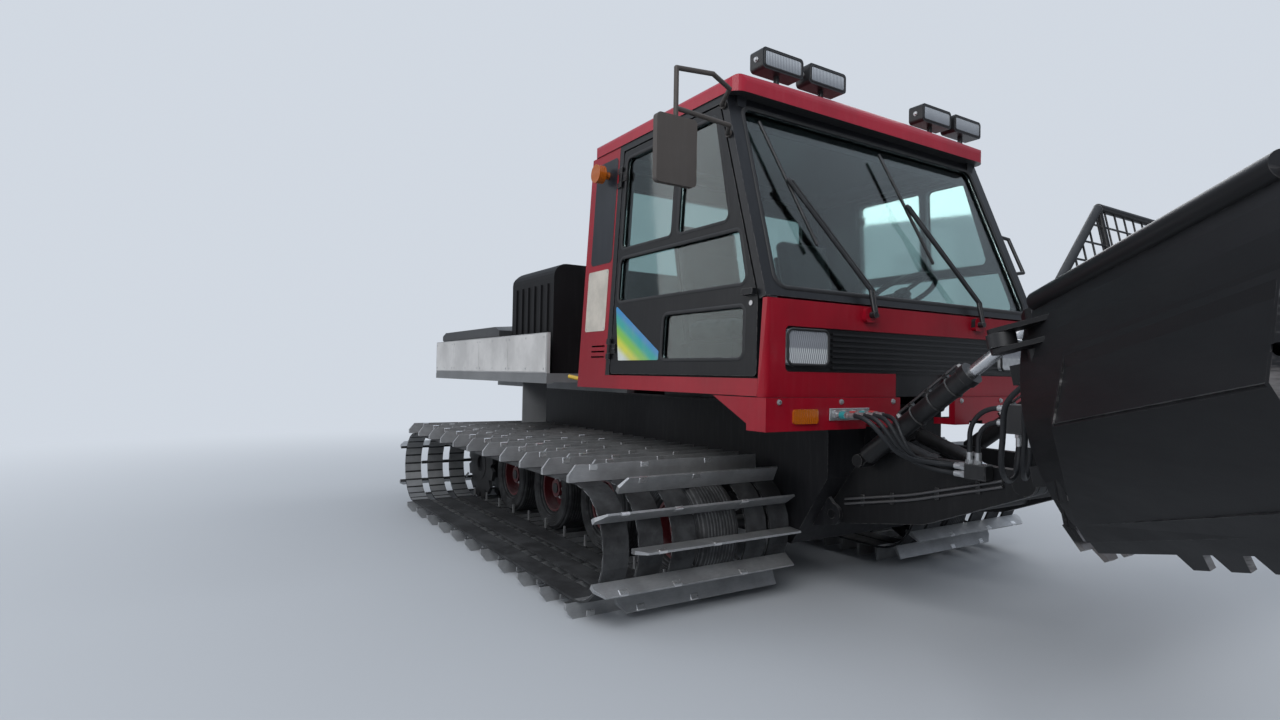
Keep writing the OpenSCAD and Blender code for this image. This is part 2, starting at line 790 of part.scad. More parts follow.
module front_lamps() {
    color("#c9cdd0") at_datum() mirrored() {
        translate([nose_x - 52, (lamp_y[0] + lamp_y[1]) / 2, (lamp_z[0] + lamp_z[1]) / 2])
            rotate([90, 0, 90]) linear_extrude(50) lamp_outline();
        translate([bumper_x + seat, 816, 909]) rotate([90, 0, 90]) linear_extrude(10) rounded(12)
            square([140, 60], center = true);
        y_bar([-905, 2200], 22, side_y(2178) + seat, cab_hw - 29);
        y_bar([-905, 2200], 52, cab_hw - 30, cab_hw + 16);
    }
}

bumper_x = 505;

module bumper() {
    t = panel_t;
    top = sill_z - 4 - seat;
    color("#a01320") at_datum() mirrored() {
        difference() {
            block(bumper_x - t, bumper_x, mouth_hw, cab_hw, 850, top);
            block(bumper_x - t - 1, bumper_x + 1, pitch_y - 56, pitch_y + 56, 849, 868);
        }
        difference() {
            block(390, bumper_x, mouth_hw, cab_hw, 850, 850 + t);
            block(430, bumper_x + 1, pitch_y - 56, pitch_y + 56, 849, 868);
        }
        xz_slab(cab_hw - t, cab_hw) polygon([[170, top], [390, 878], [bumper_x, 850], [bumper_x, top]]);
    }
}

module side_panels() {
    t = panel_t;
    color("#a81420") at_datum() mirrored() intersection() {
        side_sheet(0, t) difference() {
            polygon([[cab_rear_x, sill_z], [door_front_x + door_gap - seat, sill_z],
                [door_front_x + door_gap - seat, door_z - 8], [door_rear_x - 52, door_z - 8],
                [door_rear_x - 52, roof_z + 8], [cab_rear_x, roof_z + 8]]);
            for (i = [0:2]) translate([-962, 1158 + i * 30]) square([148, 9]);
        }
        block(-2000, 2000, -2000, 2000, 0, roof_z);
    }
}

module rear_wall() {
    color("#8f1420") at_datum() translate([roof_rear_x, 0, 0]) rotate([90, 0, 90])
        linear_extrude(cab_rear_x - roof_rear_x - seat) difference() {
            polygon([[-cab_hw, sill_z], [cab_hw, sill_z], [cab_hw - 79, roof_z], [-cab_hw + 79, roof_z]]);
            rear_glass_outline();
        }
}

module rear_glass_outline() {
    rounded(glass_r) translate([-rear_glass_hw, rear_glass_z[0]])
        square([2 * rear_glass_hw, rear_glass_z[1] - rear_glass_z[0]]);
}

module cab_glass() {
    color("#3c4a4c", 0.35) at_datum() {
        screen_sheet(18, glass_t) offset(delta = -seat) screen_glass();
        translate([roof_rear_x + 8, 0, 0]) rotate([90, 0, 90]) linear_extrude(glass_t)
            offset(delta = -seat) rear_glass_outline();
    }
}

// Door of the right side
module door() {
    side_sheet(0, door_t) difference() {
        rounded(20) polygon(door_outline);
        for (p = door_panes) rounded(34) polygon(p);
    }
    side_sheet(-26, 27) translate([door_front_x - 95, 1405]) square([70, 26]);
    difference() {
        union() for (z = hinge_z) {
            side_sheet(-8, 9) translate([door_rear_x, z]) square([46, hinge_h]);
            hinge_barrel(z, hinge_h, hinge_r);
        }
        for (z = hinge_z) hinge_barrel(z - 1, hinge_h + 2, hinge_pin + run);
    }
}

hinge_pin = 5;

// Round bar on the door's leaning hinge line, from height z up
module hinge_barrel(z, h, r) {
    translate([hinge_x, -cab_hw, side_base_z]) rotate([-side_lean, 0, 0])
        translate([0, -hinge_out, z - side_base_z]) cylinder(r = r, h = h);
}

// The pillar's half of the door's hinges: a knuckle above and below each knuckle of the door, with their pin
module pillar_hinges() {
    for (z = hinge_z) {
        for (k = [z - 30 - seat, z + hinge_h + seat]) {
            side_sheet(-8, 9) translate([hinge_x - 44, k]) square([42, 30]);
            hinge_barrel(k, 30, hinge_r);
        }
        hinge_barrel(z - 10, hinge_h + 20, hinge_pin);
    }
}

module door_glass() {
    side_sheet(16, glass_t) for (p = door_panes) offset(delta = -seat) rounded(34) polygon(p);
}

module door_right() {
    color("#131416") at_datum() door();
}

module door_left() {
    color("#131416") at_datum() mirror([0, 1, 0]) door();
}

module door_glass_right() {
    color("#3c4a4c", 0.35) at_datum() door_glass();
}

module door_glass_left() {
    color("#3c4a4c", 0.35) at_datum() mirror([0, 1, 0]) door_glass();
}

steer_at = [60, 1545];
steer_lean = 28;
steer_y = seat_y[1];

module steer_frame() {
    translate([steer_at[0], steer_y, steer_at[1]]) rotate([0, -steer_lean, 0]) children();
}

module dashboard() {
    color("#1d1e20") at_datum() {
        xz_slab(-870, 870) polygon([[250, sill_z + 30 + seat], [385, sill_z + 30 + seat], [385, 1372],
            [300, 1360], [215, 1290]]);
        steer_frame() {
            translate([0, 0, -330]) cylinder(r = 34, h = 290);
            translate([0, 0, -41]) cylinder(r = 14, h = 36);
        }
    }
}

module steering_wheel() {
    color("#141416") at_datum() steer_frame() {
        rotate_extrude() translate([185, 0]) circle(r = 14);
        for (a = [0:120:240]) rotate([0, 0, a]) translate([30, -14, -7]) cube([150, 28, 12]);
        difference() {
            translate([0, 0, -24]) cylinder(r = 44, h = 36);
            translate([0, 0, -25]) cylinder(r = 14 + run, h = 22);
        }
    }
}

work_lamp_y = [-620, -320, 560, 850];

module work_lamps() {
    color("#17181a") at_datum() for (y = work_lamp_y) {
        translate([60, y, 2552]) rotate([90, 0, 90]) linear_extrude(88) rounded(20)
            square([262, 100], center = true);
        translate([100, y, roof_top(abs(y) - 14) + seat]) cylinder(r = 14, h = 2504 - roof_top(abs(y) - 14));
    }
}

module mirror_plate() {
    translate([312, 0, 0]) rotate([90, 0, 90]) linear_extrude(28)
        rounded(18) translate([1266, 1815]) square([192, 270]);
}

mirror_feet = [[122, 2285], [174, 2140]];

module side_mirror() {
    color("#4b4a48") at_datum() mirror([0, 1, 0]) {
        mirror_plate();
        for (f = mirror_feet) side_foot(f);
        tube([side_point(mirror_feet[0], 14), [250, 1030, 2300], [326, 1180, 2300], [326, 1362, 2280],
            [326, 1362, 2060]], 10);
        tube([side_point(mirror_feet[1], 14), [300, 1070, 2120], [326, 1362, 2120]], 10);
    }
}

// Foot disc of a bracket on the cab's side at (x, z)
module side_foot(at) {
    y_bar(at, 17, side_y(at[1] - 17) + seat, side_y(at[1]) + 11);
}

// Point over the cab's side, out from it
function side_point(at, out) = [at[0], side_y(at[1]) + out, at[1]];

handle_feet = [[screen_line(1905) - 24, 1905], [screen_line(1680) - 23, 1680]];

module grab_handle() {
    color("#17181a") at_datum() {
        for (f = handle_feet) side_foot(f);
        tube([side_point(handle_feet[0], 14), [276, 1062, 1895], [362, 1066, 1690],
            side_point(handle_feet[1], 14)], 10);
    }
}

// Point over the windscreen: n out of its plane, s up its slope
function screen_point(n, y, s) = [
    screen_x + n * cos(screen_lean) - s * sin(screen_lean), y,
    screen_z + n * sin(screen_lean) + s * cos(screen_lean)
];

wiper_y = [-410, 410];
boss_t = 22;

module wipers() {
    pivot_x = nose_x + boss_t;
    color("#0d0d0e") at_datum() for (y = wiper_y) {
        rod([pivot_x + seat, y, 1350], [pivot_x + 28, y, 1350], 14);
        rod([pivot_x + seat, y + 26, 1350], [pivot_x + 16, y + 26, 1350], 10);
        tube([[pivot_x + 19, y, 1350], screen_point(46, y, 50), screen_point(38, y - 330, 560)], 9);
        tube([[pivot_x + 12, y + 26, 1350], screen_point(44, y + 26, 50), screen_point(38, y - 304, 560)], 6);
        rod(screen_point(38, y - 330, 560), screen_point(38, y - 304, 560), 8);
        rod(screen_point(24, y - 325, 560), screen_point(44, y - 325, 560), 12);
        tube([screen_point(22, y - 400, 860), screen_point(22, y - 240, 260)], 8);
    }
}

// Hydraulic cylinder along +X with its eyes' pins along Y: the barrel's eye at the origin, then a neck
module barrel(len, r, rod_r, bore_from) {
    difference() {
        union() {
            translate([0, eye_w / 2, 0]) rotate([90, 0, 0]) cylinder(r = 30, h = eye_w);
            block(0, neck + 2, -eye_w / 2, eye_w / 2, -24, 24);
            translate([neck, 0, 0]) rotate([0, 90, 0]) cylinder(r = r, h = len - neck);
            translate([len - 34, 0, 0]) rotate([0, 90, 0]) cylinder(r = r + 6, h = 34);
        }
        translate([bore_from, 0, 0]) rotate([0, 90, 0]) cylinder(r = rod_r + run, h = len);
    }
}

eye_w = 40;
neck = 44;

// The rod: from the station of its inner end to its eye at len, whose bore leaves room for the drift
module piston_rod(inner, len, rod_r, eye_r, bore_r) {
    difference() {
        union() {
            translate([inner, 0, 0]) rotate([0, 90, 0]) cylinder(r = rod_r, h = len - inner - bore_r);
            translate([len, eye_w / 2, 0]) rotate([90, 0, 0]) cylinder(r = eye_r, h = eye_w);
        }
        translate([len, eye_w / 2 + 1, 0]) rotate([90, 0, 0]) cylinder(r = bore_r, h = eye_w + 2);
    }
}

// Frame of a cylinder in the XZ plane, from p towards q
module along_xz(p, q) {
    translate([p[0], 0, p[1]]) rotate([0, -atan2(q[1] - p[1], q[0] - p[0]), 0]) children();
}

// Frame of a cylinder in the XY plane at height z, from p towards q, with its eyes upright
module along_xy(p, q, z) {
    translate([p[0], p[1], z]) rotate([0, 0, atan2(q[1] - p[1], q[0] - p[0])]) rotate([90, 0, 0]) children();
}

lift_len = norm(lift_eye - lift_base);
pitch_len = norm(pitch_eye - pitch_base);
swing_len = norm(swing_eye - swing_base);
arm_pin_r = pin_r + 4;
arm_in = arm_y - arm_w / 2;
arm_out = arm_y + arm_w / 2;
plate_t = 20;
cross_z = lift_eye[1] - 92;
beam_x = 980;

module lift_frame() {
    color("#0d0d0f") at_datum() {
        mirrored() {
            difference() {
                xz_slab(arm_in, arm_out) offset(r = 45) polygon([lift_pin, [700, 500], head_pin, pitch_base]);
                y_bar(head_pin, arm_pin_r + run, arm_in - 1, arm_out + 1);
            }
            y_bar(lift_pin, arm_pin_r, arm_in - plate_t - 4, arm_out + plate_t + 4);
            y_bar(pitch_base, pin_r, arm_out - 1, pitch_y + eye_w / 2 + 12);
            y_bar(pitch_base, pin_r + 10, arm_out - 1, pitch_y - eye_w / 2 - 2);
            y_bar(pitch_base, pin_r + 10, pitch_y + eye_w / 2 + 2, pitch_y + eye_w / 2 + 14);
            for (y = [lift_y - 36, lift_y + 22])
                xz_slab(y, y + 14) polygon(capsule([lift_eye[0], cross_z], lift_eye, 34, 8));
            y_bar(lift_eye, pin_r, lift_y - 35, lift_y + 35);
        }
        y_bar([lift_eye[0], cross_z], 40, -arm_in - 1, arm_in + 1);
        block(beam_x, beam_x + 100, -arm_in - 1, arm_in + 1, head_pin[1] - 80, head_pin[1] + 20);
    }
}

module lift_barrels() {
    color("#55585b") at_datum() mirrored() translate([0, lift_y, 0]) {
        along_xz(lift_base, lift_eye) barrel(340, 36, 18, 80);
        y_bar(lift_base, pin_r, -37, 37);
    }
}

module lift_rods() {
    color("#d8dadc") at_datum() mirrored() translate([0, lift_y, 0])
        along_xz(lift_base, lift_eye) piston_rod(110, lift_len, 18, 38, pin_r + 6.5);
}

head_x0 = 1128;
head_x1 = 1193;

module tilt_head() {
    color("#0d0d0f") at_datum() {
        mirrored() {
            xz_slab(arm_out + 5, arm_out + 5 + plate_t) polygon(capsule(head_pin, pitch_eye, 45, 10));
            xz_slab(arm_in - 5 - plate_t, arm_in - 5)
                polygon(concat(arc(head_pin[0], head_pin[1], 45, 180, 360, 12),
                    [[head_x1, 800], [head_x0, 800]]));
            y_bar(head_pin, arm_pin_r, arm_in - 6, arm_out + 6);
            y_bar(pitch_eye, pin_r, arm_out + 6, pitch_y + eye_w / 2 + 12);
            y_bar(pitch_eye, pin_r + 10, pitch_y + eye_w / 2 + 8, pitch_y + eye_w / 2 + 20);
        }
        for (z = [765, 1115]) block(head_x0, head_x1, -arm_out - 6, arm_out + 6, z, z + 70);
        for (z = [800, 1140]) translate([0, 0, z]) linear_extrude(30)
            polygon(concat([[head_x1 - 20, 110]], [[head_x1 - 20, -110]], arc(king_x, 0, 60, -70, 70, 12)));
        translate([king_x, 0, 790]) cylinder(r = 35, h = 390);
        for (z = [swing_z - 36, swing_z + 22]) difference() {
            translate([0, 0, z]) linear_extrude(14) {
                translate(swing_base) circle(r = 34);
                polygon([[swing_base[0] - 16, swing_base[1] + 20], [swing_base[0] + 38, swing_base[1] + 36],
                    [1140, arm_in + 10], [1190, arm_in + 10], [1190, arm_out + 10],
                        [swing_base[0] - 10, arm_out + 12],
                    [swing_base[0] - 22, arm_out - 4]]);
            }
            translate([swing_base[0], swing_base[1], z - 1]) cylinder(r = small_pin_r + run, h = 16);
        }
    }
}

small_pin_r = 15;

module pitch_barrels() {
    color("#55585b") at_datum() mirrored() translate([0, pitch_y, 0]) difference() {
        along_xz(pitch_base, pitch_eye) barrel(660, 42, 24, 200);
        y_bar(pitch_base, pin_r + run, -30, 30);
    }
}

module pitch_rods() {
    color("#d8dadc") at_datum() mirrored() translate([0, pitch_y, 0])
        along_xz(pitch_base, pitch_eye) piston_rod(300, pitch_len, 24, 40, pin_r + 6.5);
}

module swing_barrel() {
    color("#55585b") at_datum() {
        along_xy(swing_base, swing_eye, swing_z) barrel(270, 32, 17, 55);
        translate([swing_base[0], swing_base[1], swing_z - 37]) cylinder(r = small_pin_r, h = 74);
    }
}

module swing_rod() {
    color("#d8dadc") at_datum()
        along_xy(swing_base, swing_eye, swing_z) piston_rod(150, swing_len, 17, 38, small_pin_r + 13.5);
}

// Hollow face of the blade: depth behind the chord at height s
function face_x(s) = -4 * blade_bow * (s / blade_h) * (1 - s / blade_h);

// Section of the plate from s0 to s1
module plate_section(s0, s1, n) {
    polygon(concat(
        [for (i = [0:n]) let (s = s0 + (s1 - s0) * i / n) [face_x(s), s]],
        [for (i = [n:-1:0]) let (s = s0 + (s1 - s0) * i / n) [face_x(s) - blade_t, s]]
    ));
}

// A rib behind the plate
module rib_section() {
    polygon(concat(
        [for (i = [0:8]) let (s = 30 + (blade_h - 60) * i / 8) [face_x(s) - blade_t / 2, s]],
        [[-70, blade_h - 30], [-78, blade_h - 140], [-132, blade_h - 215], [-145, 150], [-70, 40]]
    ));
}

edge_angle = atan(4 * blade_bow / blade_h);

// Cutting edge from y0 to y1 behind the plate's foot, with teeth of height h from y0 to teeth_to
module edge_bar(y0, y1, teeth_to, h) {
    translate([-blade_t - 14, 0, 0]) {
        block(0, 14, y0, y1, -18, 62);
        n = floor((teeth_to - y0 - 30) / tooth_pitch);
        mid = (y0 + teeth_to) / 2;
        rotate([90, 0, 90]) linear_extrude(14) for (i = [0:n - 1]) {
            c = mid + (i - (n - 1) / 2) * tooth_pitch;
            polygon([[c - 42, -17], [c + 42, -17], [c + 26, -18 - h], [c - 26, -18 - h]]);
        }
    }
}

knuckle_r = 26;
hinge_pin_r = 14;
wing_cyl_s = blade_h - 95;
blade_knuckles = [[40, 110], [blade_h - 53, blade_h - 10]];
wing_knuckles = [[115, 185], [blade_h - 185, blade_h - 139]];
pin_spans = [[41, 184], [blade_h - 184, blade_h - 11]];

// Hinge lugs at the heights in spans, reaching from the axis back to the plate; dir is 1 or -1 along Y
module hinge_lugs(spans, dir) {
    for (s = spans) translate([0, 0, s[0]]) linear_extrude(s[1] - s[0])
        polygon(capsule([0, 0], [-48, dir * 72], knuckle_r, 8));
}

// Clevis behind a plate for an upright pin at p, its foot on the plate from y0 to y1
module clevis(p, y0, y1, a0, a1) {
    for (s = [wing_cyl_s - 36, wing_cyl_s + 22]) translate([0, 0, s]) linear_extrude(14) {
        foot_x = face_x(s + 7) - blade_t / 2;
        polygon(concat(arc(p[0], p[1], 34, a0, a1, 12), [[foot_x, y0], [foot_x, y1]]));
    }
}

module blade() {
    color("#0d0d0f") at_datum() {
        blade_frame() {
            difference() {
                xz_slab(-blade_hw + 8, blade_hw - 8) plate_section(0, blade_h, 12);
                mirrored() block(-100, 0, -blade_hw - 1, -blade_hw + 112, wing_cyl_s - 25, wing_cyl_s + 25);
            }
            for (y = [-600, -300, 0, 300, 600]) xz_slab(y - 6, y + 6) rib_section();
            for (s = [150, blade_h - 210]) block(-135, -72, -blade_hw + 60, blade_hw - 60, s, s + 60);
            translate([-10, blade_hw - 45, blade_h]) rotate([90, 0, 0])
                cylinder(r = 28, h = 2 * blade_hw - 90);
            rotate([0, -edge_angle, 0]) edge_bar(-blade_hw + 12, blade_hw - 12, blade_hw - 12, tooth_h);
            mirrored() translate([0, -blade_hw, 0]) {
                difference() {
                    hinge_lugs(blade_knuckles, 1);
                    for (s = blade_knuckles) block(face_x(s[0]) - 60, -knuckle_r - 22, 60, 100, s[0] - 1,
                        s[1] + 1);
                }
                for (s = pin_spans) translate([0, 0, s[0]]) cylinder(r = hinge_pin_r, h = s[1] - s[0]);
                difference() {
                    clevis(wing_base, wing_base[1] - 60, wing_base[1] + 60, 70, 290);
                    translate([wing_base[0], wing_base[1], wing_cyl_s - 40])
                        cylinder(r = small_pin_r + run, h = 80);
                }
            }
        }
        difference() {
            union() {
                translate([king_x, 0, 835]) cylinder(r = 62, h = 300);
                for (z = [[930, 1462], [1080, 1446]]) translate([0, 0, z[0]]) linear_extrude(20)
                    polygon([[1255, 58], [1400, 420], [z[1], 420], [z[1], -420], [1400, -420], [1255, -58]]);
                for (z = [swing_z - 36, swing_z + 22]) translate([0, 0, z]) linear_extrude(14)
                    polygon(capsule([king_x + 8, 0], swing_eye, 36, 10));
            }
            translate([king_x, 0, 830]) cylinder(r = 35 + run, h = 320);
        }
        translate([swing_eye[0], swing_eye[1], swing_z - 30]) cylinder(r = small_pin_r, h = 60);
    }
}

module guard_outline() {
    polygon([[-guard_foot, 0], [guard_foot, 0], [guard_top, guard_h], [-guard_top, guard_h]]);
}

module overfill_guard() {
    tube_r = 14;
    color("#0c0c0e") at_datum() blade_frame() translate([-10, 0, blade_h + 28 + 1.02 * tube_r + seat])
        rotate([90, 0, 90]) {
        tube([guard_corner([-1, 0]), guard_corner([-1, 1]), guard_corner([1, 1]), guard_corner([1, 0])],
            tube_r);
        rod(guard_corner([-1, 0]), guard_corner([1, 0]), tube_r);
        for (x = [-guard_top, guard_top]) rod([x, 0, 0], [x, guard_h, 0], 10);
        translate([0, 0, -2.5]) linear_extrude(5) intersection() {
            guard_outline();
            union() {
                for (x = [-700:mesh_pitch:700]) translate([x - 2.5, 0]) square([5, guard_h]);
                for (z = [mesh_pitch:mesh_pitch:guard_h - 40]) translate([-guard_foot, z - 2.5])
                    square([2 * guard_foot, 5]);
            }
        }
    }
}

mesh_pitch = 70;

// Corner of the guard's frame: side -1 or 1, and 0 at the foot or 1 at the top
function guard_corner(c) = [c[0] * (c[1] == 1 ? guard_top : guard_foot), c[1] * guard_h, 0];

wing_rise = 75;
wing_crease = [-140, 310];

// Height of a wing's lower edge at distance y along it
function wing_foot(y) = -wing_rise * y / wing_len;

// The closed back of a wing, creased along its middle, shrunk by t on every side
module wing_box(t) {
    intersection() {
        xz_slab(-wing_len, 0) offset(delta = -t) polygon(concat(
            [for (i = [0:8]) let (s = 5 + (blade_h - 35) * i / 8) [face_x(s) - blade_t / 2, s]],
            [wing_crease, [-34, -10]]));
        rotate([90, 0, 90]) translate([0, 0, -200]) linear_extrude(200) offset(delta = -t) rounded(25)
            polygon([
            [-wing_len, wing_foot(-wing_len) - 12], [-100, wing_foot(-100) - 12], [-90, 60],
            [-240, wing_crease[1]], [-240, blade_h - 20], [-wing_len, blade_h - 20]
        ]);
    }
}

// The right wing; the left one is its mirror image
module wing() {
    wing_frame() {
        difference() {
            union() {
                xz_slab(-wing_len, -8) plate_section(0, blade_h, 12);
                difference() {
                    wing_box(0);
                    wing_box(8);
                    for (s = [-50, 50]) y_bar([wing_crease[0] + 28, wing_crease[1] + s], 11,
                        -wing_len - 1, -wing_len + 12);
                }
            }
            for (s = blade_knuckles) block(-90, 10, -knuckle_r - 10, 0, s[0] - 8, s[1] + 8);
            rotate([90, 0, 90]) translate([0, 0, -200]) linear_extrude(400) {
                polygon([[-100, -5], [5, -5], [5, 100]]);
                polygon([[0, 0], [-wing_len - 1, wing_foot(-wing_len - 1)], [-wing_len - 1, -50], [0, -50]]);
            }
        }
        translate([-10, -45, blade_h]) rotate([90, 0, 0]) cylinder(r = 28, h = wing_len - 60);
        rotate([0, -edge_angle, 0]) rotate([-atan(wing_rise / wing_len), 0, 0])
            edge_bar(-wing_len, -102, -360, tooth_h - 6);
        difference() {
            hinge_lugs(wing_knuckles, -1);
            for (s = wing_knuckles) translate([0, 0, s[0] - 1])
                cylinder(r = hinge_pin_r + run, h = s[1] - s[0] + 2);
        }
        clevis(wing_eye, -150, -42, 20, 205);
        translate([wing_eye[0], wing_eye[1], wing_cyl_s - 30]) cylinder(r = small_pin_r, h = 60);
    }
}

module wing_right() {
    color("#0d0d0f") at_datum() wing();
}

module wing_left() {
    color("#0d0d0f") at_datum() mirror([0, 1, 0]) wing();
}

// Eye of the right wing's cylinder at rest, in the blade's frame from the hinge
function wing_eye_at() = [
    wing_eye[0] * cos(wing_fold) - wing_eye[1] * sin(wing_fold),
    wing_eye[0] * sin(wing_fold) + wing_eye[1] * cos(wing_fold)
];

wing_cyl_len = norm(wing_eye_at() - wing_base);

module wing_cylinder_frame() {
    blade_frame() translate([0, -blade_hw, 0]) along_xy(wing_base, wing_eye_at(), wing_cyl_s) children();
}

module wing_barrel() {
    wing_cylinder_frame() barrel(300, 26, 15, 60);
    blade_frame() translate([wing_base[0], wing_base[1] - blade_hw, wing_cyl_s - 37])
        cylinder(r = small_pin_r, h = 74);
}

module wing_rod() {
    wing_cylinder_frame() piston_rod(170, wing_cyl_len, 15, 40, small_pin_r + 16.5);
}

module wing_barrel_right() {
    color("#55585b") at_datum() wing_barrel();
}

module wing_rod_right() {
    color("#d8dadc") at_datum() wing_rod();
}

module wing_barrel_left() {
    color("#55585b") at_datum() mirror([0, 1, 0]) wing_barrel();
}

module wing_rod_left() {
    color("#d8dadc") at_datum() mirror([0, 1, 0]) wing_rod();
}

hull();
engine();
axles();
rims();
tyres();
sprockets();
track_left();
track_right();
deck();
deck_boards();
engine_housing();
tool_chest();
chest_lid();
cab_floor();
cab_frame();
roof();
nose_panel();
grille_band();
front_lamps();
bumper();
side_panels();
rear_wall();
cab_glass();
door_left();
door_right();
door_glass_left();
door_glass_right();
dashboard();
steering_wheel();
seat_pads();
work_lamps();
side_mirror();
grab_handle();
wipers();
lift_frame();
lift_barrels();
lift_rods();
tilt_head();
pitch_barrels();
pitch_rods();
blade();
swing_barrel();
swing_rod();
overfill_guard();
wing_left();
wing_right();
wing_barrel_left();
wing_rod_left();
wing_barrel_right();
wing_rod_right();
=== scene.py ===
import math

import bmesh
import bpy
from mathutils import Matrix, Vector


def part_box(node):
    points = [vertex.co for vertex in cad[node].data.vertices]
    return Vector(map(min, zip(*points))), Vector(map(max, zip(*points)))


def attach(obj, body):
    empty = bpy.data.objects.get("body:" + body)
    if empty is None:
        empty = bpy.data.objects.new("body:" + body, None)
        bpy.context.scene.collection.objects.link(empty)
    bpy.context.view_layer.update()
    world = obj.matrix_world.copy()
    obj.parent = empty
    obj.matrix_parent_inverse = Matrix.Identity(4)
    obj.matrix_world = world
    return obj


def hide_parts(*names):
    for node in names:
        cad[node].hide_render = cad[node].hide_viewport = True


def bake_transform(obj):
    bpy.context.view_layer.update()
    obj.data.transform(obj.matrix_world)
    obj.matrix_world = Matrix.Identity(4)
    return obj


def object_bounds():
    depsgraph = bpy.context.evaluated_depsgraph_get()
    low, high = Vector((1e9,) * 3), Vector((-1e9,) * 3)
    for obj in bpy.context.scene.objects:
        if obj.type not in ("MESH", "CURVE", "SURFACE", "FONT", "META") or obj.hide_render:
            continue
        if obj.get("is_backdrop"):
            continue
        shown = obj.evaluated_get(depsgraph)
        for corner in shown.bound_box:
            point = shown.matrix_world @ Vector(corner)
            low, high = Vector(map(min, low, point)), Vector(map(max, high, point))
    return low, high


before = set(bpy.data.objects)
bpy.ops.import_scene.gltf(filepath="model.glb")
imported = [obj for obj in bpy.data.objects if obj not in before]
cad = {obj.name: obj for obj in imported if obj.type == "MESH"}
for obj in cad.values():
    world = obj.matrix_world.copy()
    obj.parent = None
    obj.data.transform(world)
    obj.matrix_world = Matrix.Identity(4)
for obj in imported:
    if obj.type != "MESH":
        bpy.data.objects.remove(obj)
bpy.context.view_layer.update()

# View and light.
# A wide lens held low beside the right front corner, a pale floor, and the
# soft light of a bright overcast day with one large lamp high on the right.
eye = Vector((3.3166, -2.9344, 1.0729))
ahead = Vector((-0.8433, 0.5371, 0.0194)).normalized()
across = Vector((0.5375, 0.8431, 0.0182))
across = (across - ahead * across.dot(ahead)).normalized()
camera_data = bpy.data.cameras.new("view")
camera_data.sensor_width = 36
camera_data.lens = 19.69
camera_data.clip_end = 600
camera = bpy.data.objects.new("view", camera_data)
axes = Matrix((across, across.cross(ahead), -ahead)).transposed().to_4x4()
camera.matrix_world = Matrix.Translation(eye) @ axes
bpy.context.scene.collection.objects.link(camera)
bpy.context.scene.camera = camera
bpy.context.scene.view_settings.view_transform = "Standard"


def fill(node, inputs):
    """Sets a node's inputs, each to a number, a colour or another node's socket."""
    for label, value in inputs.items():
        socket = node.inputs[label]
        if isinstance(value, bpy.types.NodeSocket):
            node.id_data.links.new(value, socket)
        else:
            socket.default_value = (*value, 1) if socket.type == "RGBA" else value


def put(tree, kind, inputs=None, **settings):
    """Adds a shader node with these inputs and settings."""
    made = tree.nodes.new("ShaderNode" + kind)
    for name, value in settings.items():
        setattr(made, name, value)
    fill(made, inputs or {})
    return made


def new_finish(name, inputs=None):
    """A material, its node tree and its Principled shader with these inputs."""
    made = bpy.data.materials.new(name)
    made.use_nodes = True
    shader = made.node_tree.nodes["Principled BSDF"]
    fill(shader, inputs or {})
    return made, made.node_tree, shader


def own_axes(tree, kind="Object"):
    """X, Y and Z of the piece's own coordinates, or of another kind of them."""
    return put(tree, "SeparateXYZ", {0: put(tree, "TexCoord").outputs[kind]}).outputs


def maths(tree, operation, a, b=0.0, clamp=False):
    return put(tree, "Math", {0: a, 1: b}, operation=operation, use_clamp=clamp).outputs[0]


def mixed(tree, factor, a, b):
    """Colour a turning into colour b by the factor."""
    return put(tree, "Mix", {0: factor, 6: a, 7: b}, data_type="RGBA").outputs[2]


def ramp(tree, value, low, high, out_low=0.0, out_high=1.0):
    """The value from low to high, spread smoothly from out_low to out_high."""
    return put(tree, "MapRange", {0: value, 1: low, 2: high, 3: out_low, 4: out_high},
               interpolation_type="SMOOTHSTEP").outputs[0]


world = bpy.data.worlds.new("overcast")
bpy.context.scene.world = world
world.use_nodes = True
sky = world.node_tree
sky.nodes.clear()
backdrop_colour = (0.64, 0.69, 0.76)
path = put(sky, "LightPath").outputs
sky_height = own_axes(sky, "Generated")["Z"]
mirrored = mixed(sky, ramp(sky, sky_height, 0.0, 0.75), (0.09, 0.10, 0.12), (0.66, 0.74, 0.86))
glow = put(sky, "Background", {"Color": (0.86, 0.92, 1.0), "Strength": 0.50})
reflection = put(sky, "Background", {"Color": mirrored, "Strength": 1.0})
backdrop = put(sky, "Background", {"Color": backdrop_colour, "Strength": 1.0})
unseen = put(sky, "MixShader", {0: path["Is Glossy Ray"], 1: glow.outputs[0], 2: reflection.outputs[0]})
seen = maths(sky, "MAXIMUM", path["Is Camera Ray"], path["Is Transmission Ray"])
both = put(sky, "MixShader", {0: seen, 1: unseen.outputs[0], 2: backdrop.outputs[0]})
put(sky, "OutputWorld", {0: both.outputs[0]})

for name, place, aim, size, power in (
        ("key", (5.5, -6.5, 6.5), (0.3, 0, 1.0), 5.0, 430),
        ("fill", (-5.0, -7.5, 4.0), (-1.0, 0, 0.8), 6.0, 130),
        ("rim", (-3.0, 7.0, 6.0), (0, 0, 1.2), 5.0, 220)):
    lamp_data = bpy.data.lights.new(name, "AREA")
    lamp_data.size = size
    lamp_data.energy = power
    lamp = bpy.data.objects.new(name, lamp_data)
    lamp.location = place
    lamp.rotation_euler = (Vector(aim) - Vector(place)).to_track_quat("-Z", "Y").to_euler()
    bpy.context.scene.collection.objects.link(lamp)

